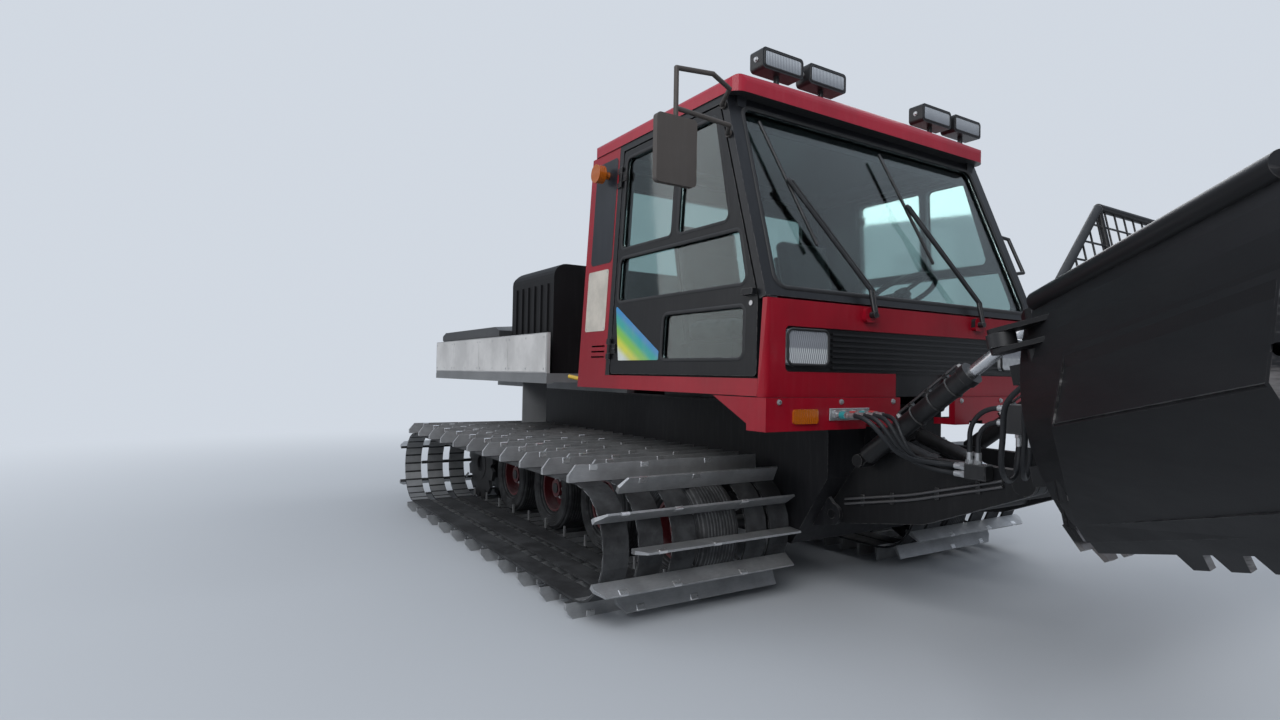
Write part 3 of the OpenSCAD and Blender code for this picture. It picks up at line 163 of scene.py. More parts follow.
bpy.ops.mesh.primitive_plane_add(size=500, location=(0, 0, 0))
floor = bpy.context.object
floor.name = "floor"
ground, tree, shader = new_finish("pale_floor", {"Base Color": (0.52, 0.55, 0.59), "Roughness": 0.9})
own_place = put(tree, "TexCoord").outputs["Object"]
away = put(tree, "VectorMath", {0: own_place}, operation="LENGTH").outputs["Value"]
far = put(tree, "Emission", {"Color": backdrop_colour})
faded = put(tree, "MixShader", {0: ramp(tree, away, 2.6, 10), 1: shader.outputs[0], 2: far.outputs[0]})
fill(tree.nodes["Material Output"], {"Surface": faded.outputs[0]})
floor.data.materials.append(ground)
floor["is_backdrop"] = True


# Hull.
# Welded steel tub between the tracks, black paint gone dull with wet and
# grit; the same worn paint, in other colours, is on most of the steel work.
def times(tree, a, b):
    return maths(tree, "MULTIPLY", a, b)


def plus(tree, a, b, clamp=False):
    return maths(tree, "ADD", a, b, clamp)


def minus(tree, a, b):
    return maths(tree, "SUBTRACT", a, b)


def effect(name, inputs, outputs):
    """A new shader node group; gives its tree, its inputs' node and outputs' node."""
    tree = bpy.data.node_groups.new(name, "ShaderNodeTree")
    for label, start in inputs:
        tree.interface.new_socket(label, in_out="INPUT", socket_type="NodeSocketFloat").default_value = start
    for label in outputs:
        tree.interface.new_socket(label, in_out="OUTPUT", socket_type="NodeSocketFloat")
    return tree, tree.nodes.new("NodeGroupInput"), tree.nodes.new("NodeGroupOutput")


def noise(tree, scale, detail=4.0, rough=0.55, stretch=(1, 1, 1), vector=None):
    """Noise over the object's own coordinates, stretched along its axes."""
    if vector is None:
        vector = put(tree, "TexCoord").outputs["Object"]
    if stretch != (1, 1, 1):
        vector = put(tree, "Mapping", {"Vector": vector, "Scale": stretch}).outputs[0]
    return put(tree, "TexNoise", {"Vector": vector, "Scale": scale, "Detail": detail,
                                  "Roughness": rough}).outputs["Fac"]


edge_wear, given, out = effect("edge_wear", [("Radius", 0.004), ("Amount", 0.5)], ["Mask"])
rounded_off = put(edge_wear, "Bevel", {"Radius": given.outputs["Radius"]}, samples=4)
true_normal = put(edge_wear, "NewGeometry").outputs["Normal"]
likeness = put(edge_wear, "VectorMath", {0: rounded_off.outputs[0], 1: true_normal},
               operation="DOT_PRODUCT").outputs["Value"]
edge = ramp(edge_wear, minus(edge_wear, 1.0, likeness), 0.02, 0.16)
chipped = times(edge_wear, edge, ramp(edge_wear, noise(edge_wear, 34, 5, 0.65), 0.42, 0.58))
fill(out, {"Mask": times(edge_wear, chipped, given.outputs["Amount"])})

weather, given, out = effect("weather", [("Scale", 3.0)], ["Blotch", "Streak", "Settled"])
spot = put(weather, "TexCoord").outputs["Object"]
scaled = put(weather, "VectorMath", {0: spot, 3: given.outputs["Scale"]}, operation="SCALE").outputs[0]
blotch = ramp(weather, noise(weather, 1, 6, 0.62, vector=scaled), 0.35, 0.65)
run_down = ramp(weather, noise(weather, 3, 4, 0.6, (6, 6, 0.7), scaled), 0.45, 0.72)
facing = put(weather, "SeparateXYZ", {0: put(weather, "NewGeometry").outputs["Normal"]}).outputs["Z"]
lying = times(weather, ramp(weather, facing, 0.35, 0.9), blotch)
fill(out, {"Blotch": blotch, "Streak": run_down, "Settled": lying})

grain, given, out = effect("grain", [("Scale", 220.0)], ["Height"])
spot = put(grain, "TexCoord").outputs["Object"]
scaled = put(grain, "VectorMath", {0: spot, 3: given.outputs["Scale"]}, operation="SCALE").outputs[0]
fill(out, {"Height": noise(grain, 1, 3, 0.6, vector=scaled)})


def add_group(tree, group, **inputs):
    """Adds the node group with these inputs; gives its outputs."""
    made = tree.nodes.new("ShaderNodeGroup")
    made.node_tree = group
    fill(made, inputs)
    return made.outputs


def bumped(tree, shader, height, strength, distance=0.001):
    bump = put(tree, "Bump", {"Height": height, "Strength": strength, "Distance": distance})
    fill(shader, {"Normal": bump.outputs[0]})


def scaled_colour(colour, by):
    return [c * by for c in colour]


def painted(name, paint, bare=(0.30, 0.29, 0.28), rough=0.4, wear=0.5, dirt=0.35,
            dirt_colour=(0.30, 0.31, 0.32), blotch_scale=2.2, grain_scale=260.0,
            bump=0.12, coat=0.0, streak=0.05, gloss=0.5):
    """Paint with uneven colour, worn edges, streaks, and dust lying on top."""
    made, tree, shader = new_finish(name)
    marks = add_group(tree, weather, Scale=blotch_scale)
    worn = add_group(tree, edge_wear, Radius=0.004, Amount=wear)["Mask"]
    shade = mixed(tree, marks["Blotch"], scaled_colour(paint, 0.86), scaled_colour(paint, 1.1))
    film = plus(tree, times(tree, marks["Streak"], streak), times(tree, marks["Settled"], dirt), True)
    shade = mixed(tree, worn, mixed(tree, film, shade, dirt_colour), bare)
    fill(shader, {"Base Color": shade, "Roughness": plus(tree, times(tree, film, 0.45), rough, True),
                  "Metallic": times(tree, worn, 0.8), "Coat Weight": coat, "Coat Roughness": 0.12,
                  "Specular IOR Level": gloss})
    relief = minus(tree, add_group(tree, grain, Scale=grain_scale)["Height"], times(tree, worn, 0.6))
    bumped(tree, shader, relief, bump)
    return made


def dress(material, *names):
    for name in names:
        cad[name].data.materials.clear()
        cad[name].data.materials.append(material)


hull_paint = painted("hull_paint", (0.009, 0.009, 0.011), wear=0.45, dirt=0.3, rough=0.6, streak=0.03,
                     gloss=0.3)
dress(hull_paint, "hull")


def alone(piece):
    """Selects this piece only, and makes it the active one."""
    bpy.ops.object.select_all(action="DESELECT")
    piece.select_set(True)
    bpy.context.view_layer.objects.active = piece


def set_in(piece):
    """Sets a piece's place, turn and size into its mesh."""
    alone(piece)
    bpy.ops.object.transform_apply(location=True, rotation=True, scale=True)


def finished(piece, name, material, smooth=30):
    """Sets a piece's place into its mesh, and gives it its name and material."""
    set_in(piece)
    piece.name = name
    piece.data.name = name
    piece.data.materials.clear()
    piece.data.materials.append(material)
    if smooth:
        bpy.ops.object.shade_smooth_by_angle(angle=math.radians(smooth))
    return piece


def settle(piece, name, material, body, smooth=30):
    """Finishes a rigid piece and hangs it on its body."""
    finished(piece, name, material, smooth)
    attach(piece, body)


def block(centre, size, bevel=0.0, segments=1):
    """A box with its edges rounded, its place already in its mesh."""
    bpy.ops.mesh.primitive_cube_add(size=1, location=centre)
    made = bpy.context.object
    made.scale = size
    set_in(made)
    if bevel:
        bpy.ops.object.mode_set(mode="EDIT")
        bpy.ops.mesh.bevel(offset=bevel, segments=segments, affect="EDGES")
        bpy.ops.object.mode_set(mode="OBJECT")
    return made


def loose(shape):
    """The built shape as a piece of its own."""
    made = bpy.data.objects.new("piece", bpy.data.meshes.new("piece"))
    shape.to_mesh(made.data)
    shape.free()
    bpy.context.scene.collection.objects.link(made)
    return made


def copies(pattern, places):
    """One mesh of the pattern copied to every place, each a matrix."""
    sheet = bmesh.new()
    for place in places:
        one = pattern.data.copy()
        one.transform(place)
        sheet.from_mesh(one)
        bpy.data.meshes.remove(one)
    bpy.data.objects.remove(pattern)
    return loose(sheet)


def hex_bolt(across_flats, height):
    """A bolt's head on its washer, standing on the plane Z = 0."""
    radius = across_flats / 2
    bpy.ops.mesh.primitive_cylinder_add(vertices=12, radius=radius * 1.45, depth=height * 0.22,
                                        location=(0, 0, height * 0.11))
    bolt = bpy.context.object
    bpy.ops.object.mode_set(mode="EDIT")
    bpy.ops.mesh.primitive_cylinder_add(vertices=6, radius=radius * 1.12, depth=height * 0.8,
                                        location=(0, 0, height * 0.6 - height * 0.11))
    bpy.ops.mesh.select_all(action="DESELECT")
    bpy.ops.object.mode_set(mode="OBJECT")
    top = max(v.co.z for v in bolt.data.vertices)
    for face in bolt.data.polygons:
        face.select = face.normal.z > 0.9 and face.center.z > top - 1e-5
    bpy.ops.object.mode_set(mode="EDIT")
    bpy.ops.mesh.inset(thickness=radius * 0.18, depth=height * 0.1)
    bpy.ops.object.mode_set(mode="OBJECT")
    set_in(bolt)
    return bolt


def standing(place, direction, turn=0.0):
    """Matrix that stands a pattern at the place with its Z along the direction."""
    spin = Vector(direction).to_track_quat("Z", "Y").to_matrix().to_4x4()
    return Matrix.Translation(place) @ spin @ Matrix.Rotation(turn, 4, "Z")


def turned(place, angle, axis="Y"):
    """Matrix that turns a pattern about its own axis and moves it to the place."""
    return Matrix.Translation(place) @ Matrix.Rotation(angle, 4, axis)


boards_back = -3.850
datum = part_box("deck_boards")[0].x - boards_back


# Engine.
# Cast iron diesel on two rails under the housing, oily and dark; only its
# lower edges can be seen between the hull's top and the deck.
engine_iron, tree, shader = new_finish("engine_iron", {"Metallic": 0.4})
iron = (0.09, 0.09, 0.10)
marks = add_group(tree, weather, Scale=4.0)
fill(shader, {"Base Color": mixed(tree, marks["Blotch"], scaled_colour(iron, 0.7), scaled_colour(iron, 1.25)),
              "Roughness": ramp(tree, marks["Streak"], 0, 1, 0.7, 0.5)})
bumped(tree, shader, add_group(tree, grain, Scale=150.0)["Height"], 0.4)
dress(engine_iron, "engine")


# Axles, rims and sprockets.
# Forged stub axles on trailing arms; pressed steel rims in dark red paint
# chipped to steel, each held by six nuts; toothed rings of hard black plastic.
dress(painted("axle_paint", (0.012, 0.012, 0.014), wear=0.6, dirt=0.35, rough=0.5), "axles")
dress(painted("rim_paint", (0.10, 0.008, 0.012), wear=0.9, dirt=0.45, rough=0.5,
              blotch_scale=5.0), "rims")
dress(painted("sprocket_plastic", (0.018, 0.018, 0.019), bare=(0.08, 0.08, 0.08), wear=0.7,
              dirt=0.35, rough=0.6), "sprockets")


def steel_finish(name, colour, rough, scratch=(40, 4, 40), bump=0.15, dirt=0.2):
    """Bare worked metal: fine scratches along one axis and dull blotches."""
    made, tree, shader = new_finish(name, {"Metallic": 0.9})
    lines = noise(tree, 6, 5, 0.7, scratch)
    blotch = add_group(tree, weather, Scale=5.0)["Blotch"]
    shade = mixed(tree, lines, scaled_colour(colour, 0.8), scaled_colour(colour, 1.15))
    fill(shader, {"Base Color": mixed(tree, times(tree, blotch, dirt), shade, (0.2, 0.18, 0.16)),
                  "Roughness": ramp(tree, lines, 0, 1, rough, rough + 0.2)})
    bumped(tree, shader, lines, bump, 0.0006)
    return made


zinc = steel_finish("zinc_steel", (0.56, 0.57, 0.58), 0.32)


def fasten(pattern, places, name, body="machine"):
    """Zinc plated screws or nuts of this pattern at every place."""
    settle(copies(pattern, places), name, zinc, body)


rims_low, rims_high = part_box("rims")
axle_z = (rims_low.z + rims_high.z) / 2
rim_r = (rims_high.z - rims_low.z) / 2
roller_x = [rims_high.x - rim_r - i * (rims_high.x - rims_low.x - 2 * rim_r) / 3 for i in range(4)]
nut_y, nut_circle_r = 0.942, 0.061
nuts = [standing((x + nut_circle_r * math.cos(a), side * nut_y, axle_z + nut_circle_r * math.sin(a)),
                 (0, side, 0), a)
        for side in (-1, 1) for x in roller_x for a in (i * math.pi / 3 for i in range(6))]
fasten(hex_bolt(0.019, 0.015), nuts, "wheel_nuts")


# Tyres.
# Smooth running rubber tyres on the road rollers, with fine grooves round the
# tread and on the side walls, grey with dried dirt.
def wave(tree, value, step):
    """Swings from -1 to 1 and back once in each step of the value."""
    return maths(tree, "SINE", times(tree, value, 2 * math.pi / step))


def reach(tree, x, z):
    """Distance from the origin in the plane of X and Z."""
    vector = put(tree, "CombineXYZ", {0: x, 2: z}).outputs[0]
    return put(tree, "VectorMath", {0: vector}, operation="LENGTH").outputs["Value"]


tyre_rubber, tree, shader = new_finish("tyre_rubber", {"Roughness": 0.85})
spot = own_axes(tree)
pitch_x = roller_x[0] - roller_x[1]
along = minus(tree, spot["X"], roller_x[3] - pitch_x / 2)
along = minus(tree, maths(tree, "MODULO", along, pitch_x), pitch_x / 2)
from_axle = reach(tree, along, minus(tree, spot["Z"], axle_z))
on_wall = ramp(tree, from_axle, 0.235, 0.25, 1.0, 0.0)
relief = plus(tree, times(tree, wave(tree, from_axle, 0.011), on_wall),
              times(tree, wave(tree, spot["Y"], 0.018), minus(tree, 1.0, on_wall)))
blotch = add_group(tree, weather, Scale=7.0)["Blotch"]
grime = times(tree, blotch, ramp(tree, relief, -1, 0.2, 0.55, 0.12))
fill(shader, {"Base Color": mixed(tree, grime, (0.012, 0.012, 0.013), (0.16, 0.165, 0.17))})
bumped(tree, shader, relief, 0.55, 0.003)
dress(tyre_rubber, "tyres")


# Tracks.
# Each track is five endless belts of fabric and rubber with 52 pressed alloy
# cross bars bolted through them, and steel guide horns beside the rollers.
belt_mid_r = 0.253
belt_half = 0.0068
rear_axle_x = (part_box("sprockets")[0].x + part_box("sprockets")[1].x) / 2
front_axle_x = roller_x[0]
half_base = (front_axle_x - rear_axle_x) / 2
track_finish, tree, shader = new_finish("track_rubber_and_alloy")
spot = own_axes(tree)
along = maths(tree, "ABSOLUTE", minus(tree, spot["X"], (front_axle_x + rear_axle_x) / 2))
beyond = maths(tree, "MAXIMUM", minus(tree, along, half_base), 0.0)
from_line = minus(tree, reach(tree, beyond, minus(tree, spot["Z"], axle_z)), belt_mid_r)
is_metal = maths(tree, "GREATER_THAN", maths(tree, "ABSOLUTE", from_line), belt_half)
blotch = add_group(tree, weather, Scale=6.0)["Blotch"]
worn = add_group(tree, edge_wear, Radius=0.003, Amount=0.9)["Mask"]
scratches = noise(tree, 9, 5, 0.7, (30, 3, 30))
alloy = mixed(tree, scratches, (0.34, 0.345, 0.35), (0.56, 0.565, 0.57))
alloy = mixed(tree, times(tree, blotch, 0.45), alloy, (0.22, 0.22, 0.225))
alloy = mixed(tree, worn, alloy, (0.78, 0.79, 0.80))
rubber = mixed(tree, times(tree, blotch, 0.35), (0.009, 0.009, 0.010), (0.10, 0.105, 0.11))
fill(shader, {"Base Color": mixed(tree, is_metal, rubber, alloy), "Metallic": times(tree, is_metal, 0.75),
              "Roughness": ramp(tree, is_metal, 0, 1, 0.82, 0.46)})
plies = times(tree, wave(tree, spot["Y"], 0.006), minus(tree, 1.0, is_metal))
relief = plus(tree, plies, times(tree, scratches, times(tree, is_metal, 1.6)))
bumped(tree, shader, relief, 0.3, 0.0012)
dress(track_finish, "track_left", "track_right")

bar_count, bars_round = 52, 12
bar_pitch = 2 * math.pi * belt_mid_r / bars_round
straight = (bar_count - bars_round) * bar_pitch / 2
turn = math.pi * belt_mid_r
shiny = steel_finish("bright_stud", (0.80, 0.80, 0.80), 0.2, dirt=0.1)


def loop_at(s):
    """Place on the track's middle line, and the direction outwards, as (x, z, dx, dz)."""
    if s < straight:
        return front_axle_x - s, axle_z + belt_mid_r, 0.0, 1.0
    if straight + turn <= s < 2 * straight + turn:
        return rear_axle_x + s - straight - turn, axle_z - belt_mid_r, 0.0, -1.0
    if s < straight + turn:
        axle_x, a = rear_axle_x, math.pi / 2 + (s - straight) / belt_mid_r
    else:
        axle_x, a = front_axle_x, math.pi * 1.5 + (s - 2 * straight - turn) / belt_mid_r
    return axle_x + belt_mid_r * math.cos(a), axle_z + belt_mid_r * math.sin(a), math.cos(a), math.sin(a)


# Bright steel clips over the ridges of the bars: three on one bar, two on the
# next, on both tracks.
clip = block((0, 0, 0), (0.0165, 0.046, 0.030), 0.004)
for vertex in clip.data.vertices:
    vertex.co.x *= 1.0 - 7.5 * vertex.co.z
clip_places = []
bar_rise = 0.0595
out_by = belt_half + bar_rise
for i in range(bar_count):
    x, z, dx, dz = loop_at(i * bar_pitch)
    clip_places += [turned((x + dx * out_by, side * y, z + dz * out_by), math.atan2(dx, dz))
                    for side in (-1, 1) for y in ((0.79, 1.16, 1.43) if i % 2 == 0 else (0.98, 1.27))]
settle(copies(clip, clip_places), "bar_clips", shiny, "machine")


# Deck and boards.
# Welded deck of folded sheet in grey paint, with pale alloy boards on its
# sides; each side board carries four blank sheets held by small screws.
grey_paint = painted("deck_paint", (0.17, 0.175, 0.18), wear=0.5, dirt=0.4, rough=0.5)
dress(grey_paint, "deck")
board_metal = painted("board_alloy", (0.40, 0.40, 0.40), bare=(0.6, 0.6, 0.6), wear=0.4,
                      dirt=0.45, dirt_colour=(0.36, 0.35, 0.33), rough=0.45)
dress(board_metal, "deck_boards")

low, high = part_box("deck_boards")
sheet_white = painted("sheet_white", (0.58, 0.57, 0.56), bare=(0.5, 0.5, 0.5), wear=0.6, dirt=0.5,
                      dirt_colour=(0.42, 0.40, 0.37), rough=0.35, blotch_scale=4.0)
sheets, screws = [], []
ends = [low.x + 0.012, low.x + 0.50, low.x + 1.13, low.x + 1.73, high.x - 0.012]
for side in (-1, 1):
    for x0, x1 in zip(ends, ends[1:]):
        centre = ((x0 + x1) / 2, side * (high.y + 0.0015), (low.z + high.z) / 2)
        one = block(centre, (x1 - x0 - 0.005, 0.003, high.z - low.z - 0.012), 0.0012)
        sheets.append(one)
        screws += [standing((x, side * (high.y + 0.003), z), (0, side, 0))
                   for x in (x0 + 0.03, (x0 + x1) / 2, x1 - 0.03) for z in (low.z + 0.028, high.z - 0.028)]


def join(pieces):
    """Joins loose pieces into the first one."""
    bpy.ops.object.select_all(action="DESELECT")
    for piece in pieces:
        piece.select_set(True)
    bpy.context.view_layer.objects.active = pieces[0]
    bpy.ops.object.join()
    return bpy.context.object


settle(join(sheets), "board_sheets", sheet_white, "machine")


def dome_screw(radius, height):
    """A pan head screw with a recess, standing on the plane Z = 0."""
    bpy.ops.mesh.primitive_cylinder_add(vertices=10, radius=radius, depth=height, location=(0, 0, height / 2))
    screw = bpy.context.object
    for face in screw.data.polygons:
        face.select = face.normal.z > 0.9
    bpy.ops.object.mode_set(mode="EDIT")
    bpy.ops.mesh.inset(thickness=radius * 0.25, depth=height * 0.2)
    bpy.ops.mesh.inset(thickness=radius * 0.35, depth=0)
    bpy.ops.mesh.inset(thickness=radius * 0.1, depth=-height * 0.4)
    bpy.ops.object.mode_set(mode="OBJECT")
    set_in(screw)
    return screw


fasten(dome_screw(0.007, 0.003), screws, "board_screws")


# Engine housing.
# Ribbed cover of black fibre reinforced plastic over the engine, its grain
# gone dull, held to the deck by bolts along its foot.
def moulded(name, colour, rough=0.55, bump=0.25, dirt=0.25, wear=0.3, streak=0.02, gloss=0.5):
    """Moulded plastic or rubber, grained, its edges worn pale."""
    return painted(name, colour, bare=scaled_colour(colour, 3.0), rough=rough, wear=wear, dirt=dirt,
                   grain_scale=420.0, bump=bump, blotch_scale=1.5, streak=streak, gloss=gloss)


dress(moulded("housing_plastic", (0.007, 0.007, 0.008), dirt=0.06, streak=0.01, gloss=0.2),
      "engine_housing")
low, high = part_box("engine_housing")
feet = [standing((low.x + 0.09 + i * (high.x - low.x - 0.18) / 4, side * (high.y - 0.0115), low.z + 0.05),
                 (0, side, 0)) for side in (-1, 1) for i in range(5)]
fasten(hex_bolt(0.017, 0.010), feet, "housing_bolts")


# Tool chest.
# Grey steel chest on the deck behind the housing, with a ridged lid hinged
# along its front; two black toggle latches hold the lid at the back.
chest_paint = painted("chest_paint", (0.045, 0.047, 0.050), wear=0.6, dirt=0.45, rough=0.45)
dress(chest_paint, "tool_chest", "chest_lid")
black_metal = painted("black_metal", (0.010, 0.010, 0.011), wear=0.6, dirt=0.25, rough=0.4)
chest_low, chest_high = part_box("tool_chest")
lid_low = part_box("chest_lid")[0]
bodies_made, hooks_made = [], []
for y in (-0.62, 0.62):
    bodies_made.append(block((chest_low.x - 0.0085, y, chest_high.z - 0.075), (0.016, 0.05, 0.11), 0.005, 2))
    hooks_made.append(block((lid_low.x - 0.004, y, lid_low.z + 0.026), (0.009, 0.036, 0.022), 0.003, 2))
settle(join(bodies_made), "latch_bodies", black_metal, "machine")
settle(join(hooks_made), "latch_hooks", black_metal, "chest_lid")


# Cab floor, frame and rear wall.
# Steel floor under a ribbed rubber mat, and a welded frame of black painted
# tube and folded sheet round the doors and the windscreen.
mat_rubber, tree, shader = new_finish("mat_rubber", {"Roughness": 0.8})
grime = times(tree, add_group(tree, weather, Scale=5.0)["Blotch"], 0.35)
fill(shader, {"Base Color": mixed(tree, grime, (0.03, 0.03, 0.032), (0.16, 0.155, 0.15))})
bumped(tree, shader, wave(tree, own_axes(tree)["Y"], 0.02), 0.4, 0.002)
dress(mat_rubber, "cab_floor")


def line_inside(material, colour):
    """Gives the faces that look into the cab a plain lining in this colour."""
    tree = material.node_tree
    shader = tree.nodes["Principled BSDF"]
    coordinates = put(tree, "TexCoord")
    inward = put(tree, "VectorMath", {0: (datum - 0.30, 0, 1.70), 1: coordinates.outputs["Object"]},
                 operation="SUBTRACT").outputs[0]
    facing = put(tree, "VectorMath", {0: coordinates.outputs["Normal"], 1: inward}, operation="DOT_PRODUCT")
    inside = maths(tree, "GREATER_THAN", facing.outputs["Value"], 0.35)
    outside = shader.inputs["Base Color"].links[0].from_socket
    fill(shader, {"Base Color": mixed(tree, inside, outside, colour)})


frame_paint = painted("frame_paint", (0.0075, 0.008, 0.010), wear=0.4, dirt=0.10, rough=0.36, streak=0.015,
                      gloss=0.3)
dress(frame_paint, "cab_frame")
cab_red = painted("cab_red", (0.27, 0.0035, 0.014), bare=(0.12, 0.008, 0.014), wear=0.5, dirt=0.14,
                  rough=0.34, dirt_colour=(0.26, 0.10, 0.11), coat=0.06, grain_scale=330.0, bump=0.05,
                  gloss=0.3)
line_inside(cab_red, (0.020, 0.020, 0.022))
dress(cab_red, "nose_panel", "side_panels", "bumper", "rear_wall")


# Roof.
# One moulded shell of red gel coat, chalky and pale where the weather lies on
# it, with a folded rim over the doors and the windscreen.
roof_red = painted("roof_gelcoat", (0.34, 0.008, 0.026), bare=(0.32, 0.06, 0.08), wear=0.5, dirt=0.30,
                   dirt_colour=(0.42, 0.16, 0.18), rough=0.42, coat=0.05, bump=0.08, gloss=0.4)
line_inside(roof_red, (0.030, 0.030, 0.032))
dress(roof_red, "roof")


# Nose: grille band and front lamps.
# Black plastic band with slats between two square headlamps, amber turn lamps
# in the bumper and an amber drum lamp on each rear corner of the cab.
dress(moulded("band_plastic", (0.007, 0.007, 0.008), rough=0.38, dirt=0.06), "grille_band")
lamp_finish, tree, shader = new_finish("lamp_lenses", {"Roughness": 0.12, "Coat Weight": 0.8})
spot = own_axes(tree)
is_amber = maths(tree, "MAXIMUM", maths(tree, "GREATER_THAN", spot["Z"], 1.6),
                 maths(tree, "LESS_THAN", spot["Z"], 1.0))
flutes = wave(tree, spot["Y"], 0.012)
rows = wave(tree, spot["Z"], 0.052)
pattern = ramp(tree, times(tree, flutes, rows), -1, 1)
clear = mixed(tree, pattern, (0.22, 0.24, 0.26), (0.66, 0.68, 0.70))
# Painted reflection: each clear lens is made darker in its upper half and lighter in its lower half.
clear = mixed(tree, ramp(tree, spot["Z"], 1.185, 1.195, 1.0, 0.30), (0.17, 0.18, 0.21), clear)
fill(shader, {"Base Color": mixed(tree, is_amber, clear, (0.42, 0.10, 0.006))})
bumped(tree, shader, plus(tree, flutes, rows), 0.35, 0.0015)
dress(lamp_finish, "front_lamps")


def outline_rounded(corners, radius, steps=5):
    """Points round a convex outline with its corners rounded; corners run one way."""
    points = []
    for i, corner in enumerate(corners):
        here = Vector(corner)
        back = (Vector(corners[i - 1]) - here).normalized()
        on = (Vector(corners[(i + 1) % len(corners)]) - here).normalized()
        half = back.angle(on) / 2
        cut_back = radius / math.tan(half)
        start, stop = here + back * cut_back, here + on * cut_back
        centre = here + (back + on).normalized() * (radius / math.sin(half))
        for k in range(steps + 1):
            t = k / steps
            arm = (start - centre).lerp(stop - centre, t).normalized() * radius
            points.append(centre + arm)
    return points


def skin(shape, rows):
    """Faces from each row of points to the next; every row is a closed loop."""
    for a, b in zip(rows, rows[1:]):
        for k in range(len(a)):
            after = (k + 1) % len(a)
            shape.faces.new((a[k], a[after], b[after], b[k]))


def turned_out(shape):
    """The built shape as a piece, its faces all turned outwards."""
    bmesh.ops.recalc_face_normals(shape, faces=shape.faces)
    return loose(shape)


def ring_piece(points, radius, flat=1.0, out=(0, -1, 0)):
    """A closed cord of rubber along the points, its section a circle pressed flat along out."""
    middle = sum((Vector(p) for p in points), Vector()) / len(points)
    out = Vector(out).normalized()
    strip = bmesh.new()
    rows = []
    for i, point in enumerate(points):
        here = Vector(point)
        forward = (Vector(points[(i + 1) % len(points)]) - Vector(points[i - 1])).normalized()
        side = forward.cross(out).normalized()
        if side.dot(here - middle) < 0:
            side = -side
        wide, deep = side * radius, out * (radius * flat)
        rows.append([strip.verts.new(here + wide * math.cos(a) + deep * math.sin(a))
                     for a in (2 * math.pi * k / 8 for k in range(8))])
    skin(strip, rows + rows[:1])
    return turned_out(strip)


def rectangle(x0, y0, x1, y1):
    """Its four corners, round from the first."""
    return (x0, y0), (x1, y0), (x1, y1), (x0, y1)


seal_rubber = moulded("seal_rubber", (0.012, 0.012, 0.013), rough=0.6, dirt=0.3, wear=0.1)
lamp_x = datum + 0.480
rims_made = []
for side in (-1, 1):
    corners = [(lamp_x - 0.001, side * y, z) for y, z in rectangle(0.652, 1.122, 0.890, 1.268)]
    rims_made.append(ring_piece(outline_rounded(corners, 0.026), 0.006, 0.9, (1, 0, 0)))
settle(join(rims_made), "headlamp_rims", seal_rubber, "machine", 60)


# Cab glass.
# Flat panes of green tinted safety glass held in rubber seals; the seals
# stand a little proud all round.
glass, tree, shader = new_finish("tinted_glass", {
    "Base Color": (0.48, 0.60, 0.59), "Transmission Weight": 1.0, "IOR": 1.45})
fill(shader, {"Roughness": ramp(tree, noise(tree, 2.2, 5, 0.65), 0.4, 0.8, 0.03, 0.09)})
dress(glass, "cab_glass", "door_glass_left", "door_glass_right")


screen_lean = math.radians(20)
screen_top = 0.938 / math.cos(screen_lean)
screen_out = Vector((math.cos(screen_lean), 0, math.sin(screen_lean)))
screen_up = Vector((-math.sin(screen_lean), 0, math.cos(screen_lean)))


def screen_point(y, up, out):
    """A point over the windscreen: up its slope, and out of it."""
    return Vector((datum + 0.470, y, 1.400)) + screen_out * out + screen_up * up


corners = [screen_point(y, up, 0.0005) for y, up in
           ((-0.938, 0.042), (0.938, 0.042), (0.872, screen_top - 0.048), (-0.872, screen_top - 0.048))]
seals = [ring_piece(outline_rounded(corners, 0.055, 8), 0.011, 0.45, screen_out)]
wall_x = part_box("rear_wall")[0].x
corners = [(wall_x, y, z) for y, z in rectangle(-0.76, 1.48, 0.76, 2.20)]
seals.append(ring_piece(outline_rounded(corners, 0.055, 8), 0.011, 0.45, (-1, 0, 0)))
settle(join(seals), "screen_seals", seal_rubber, "machine", 60)


# Doors.
# Hinged at their rear edge: a black frame round three panes and a low foot
# window, with rubber seals, a pull handle, and a bright generic corner panel.
side_lean = math.radians(3.34)


def side_out(side):
    return Vector((0, side * math.cos(side_lean), math.sin(side_lean)))


def side_point(x, z, out, side):
    """A point over the cab's leaning side at the datum's x and height z."""
    y = 1.030 - (z - 0.990) * math.tan(side_lean)
    return Vector((datum + x, side * y, z)) + side_out(side) * out


dress(painted("door_paint", (0.007, 0.0075, 0.009), wear=0.45, dirt=0.08, rough=0.34, streak=0.012,
              gloss=0.22), "door_left", "door_right")
panes = (rectangle(-0.705, 1.745, -0.227, 2.252),
         ((-0.183, 1.745), (0.217, 1.745), (0.072, 2.252), (-0.183, 2.252)),
         ((-0.705, 1.455), (0.356, 1.455), (0.285, 1.698), (-0.705, 1.698)),
         ((-0.255, 1.140), (0.354, 1.140), (0.345, 1.366), (-0.255, 1.366)))
for side, body in ((-1, "door_right"), (1, "door_left")):
    seals = []
    for corners in panes:
        points = outline_rounded([side_point(x, z, 0.0, side) for x, z in corners], 0.034)
        seals.append(ring_piece(points, 0.0085, 0.4, side_out(side)))
    settle(join(seals), "seals_" + body, seal_rubber, body, 60)

# Bright corner panel under the waist rail of each door, in generic colours
# that run from a pale edge over yellow and green to blue.
def sheet_piece(points, thickness, out):
    """A flat sheet with this outline, its face standing out by its thickness."""
    made = bmesh.new()
    low_row = [made.verts.new(p) for p in points]
    high_row = [made.verts.new(Vector(p) + Vector(out) * thickness) for p in points]
    made.faces.new(low_row)
    made.faces.new(high_row)
    skin(made, [low_row, high_row])
    return turned_out(made)


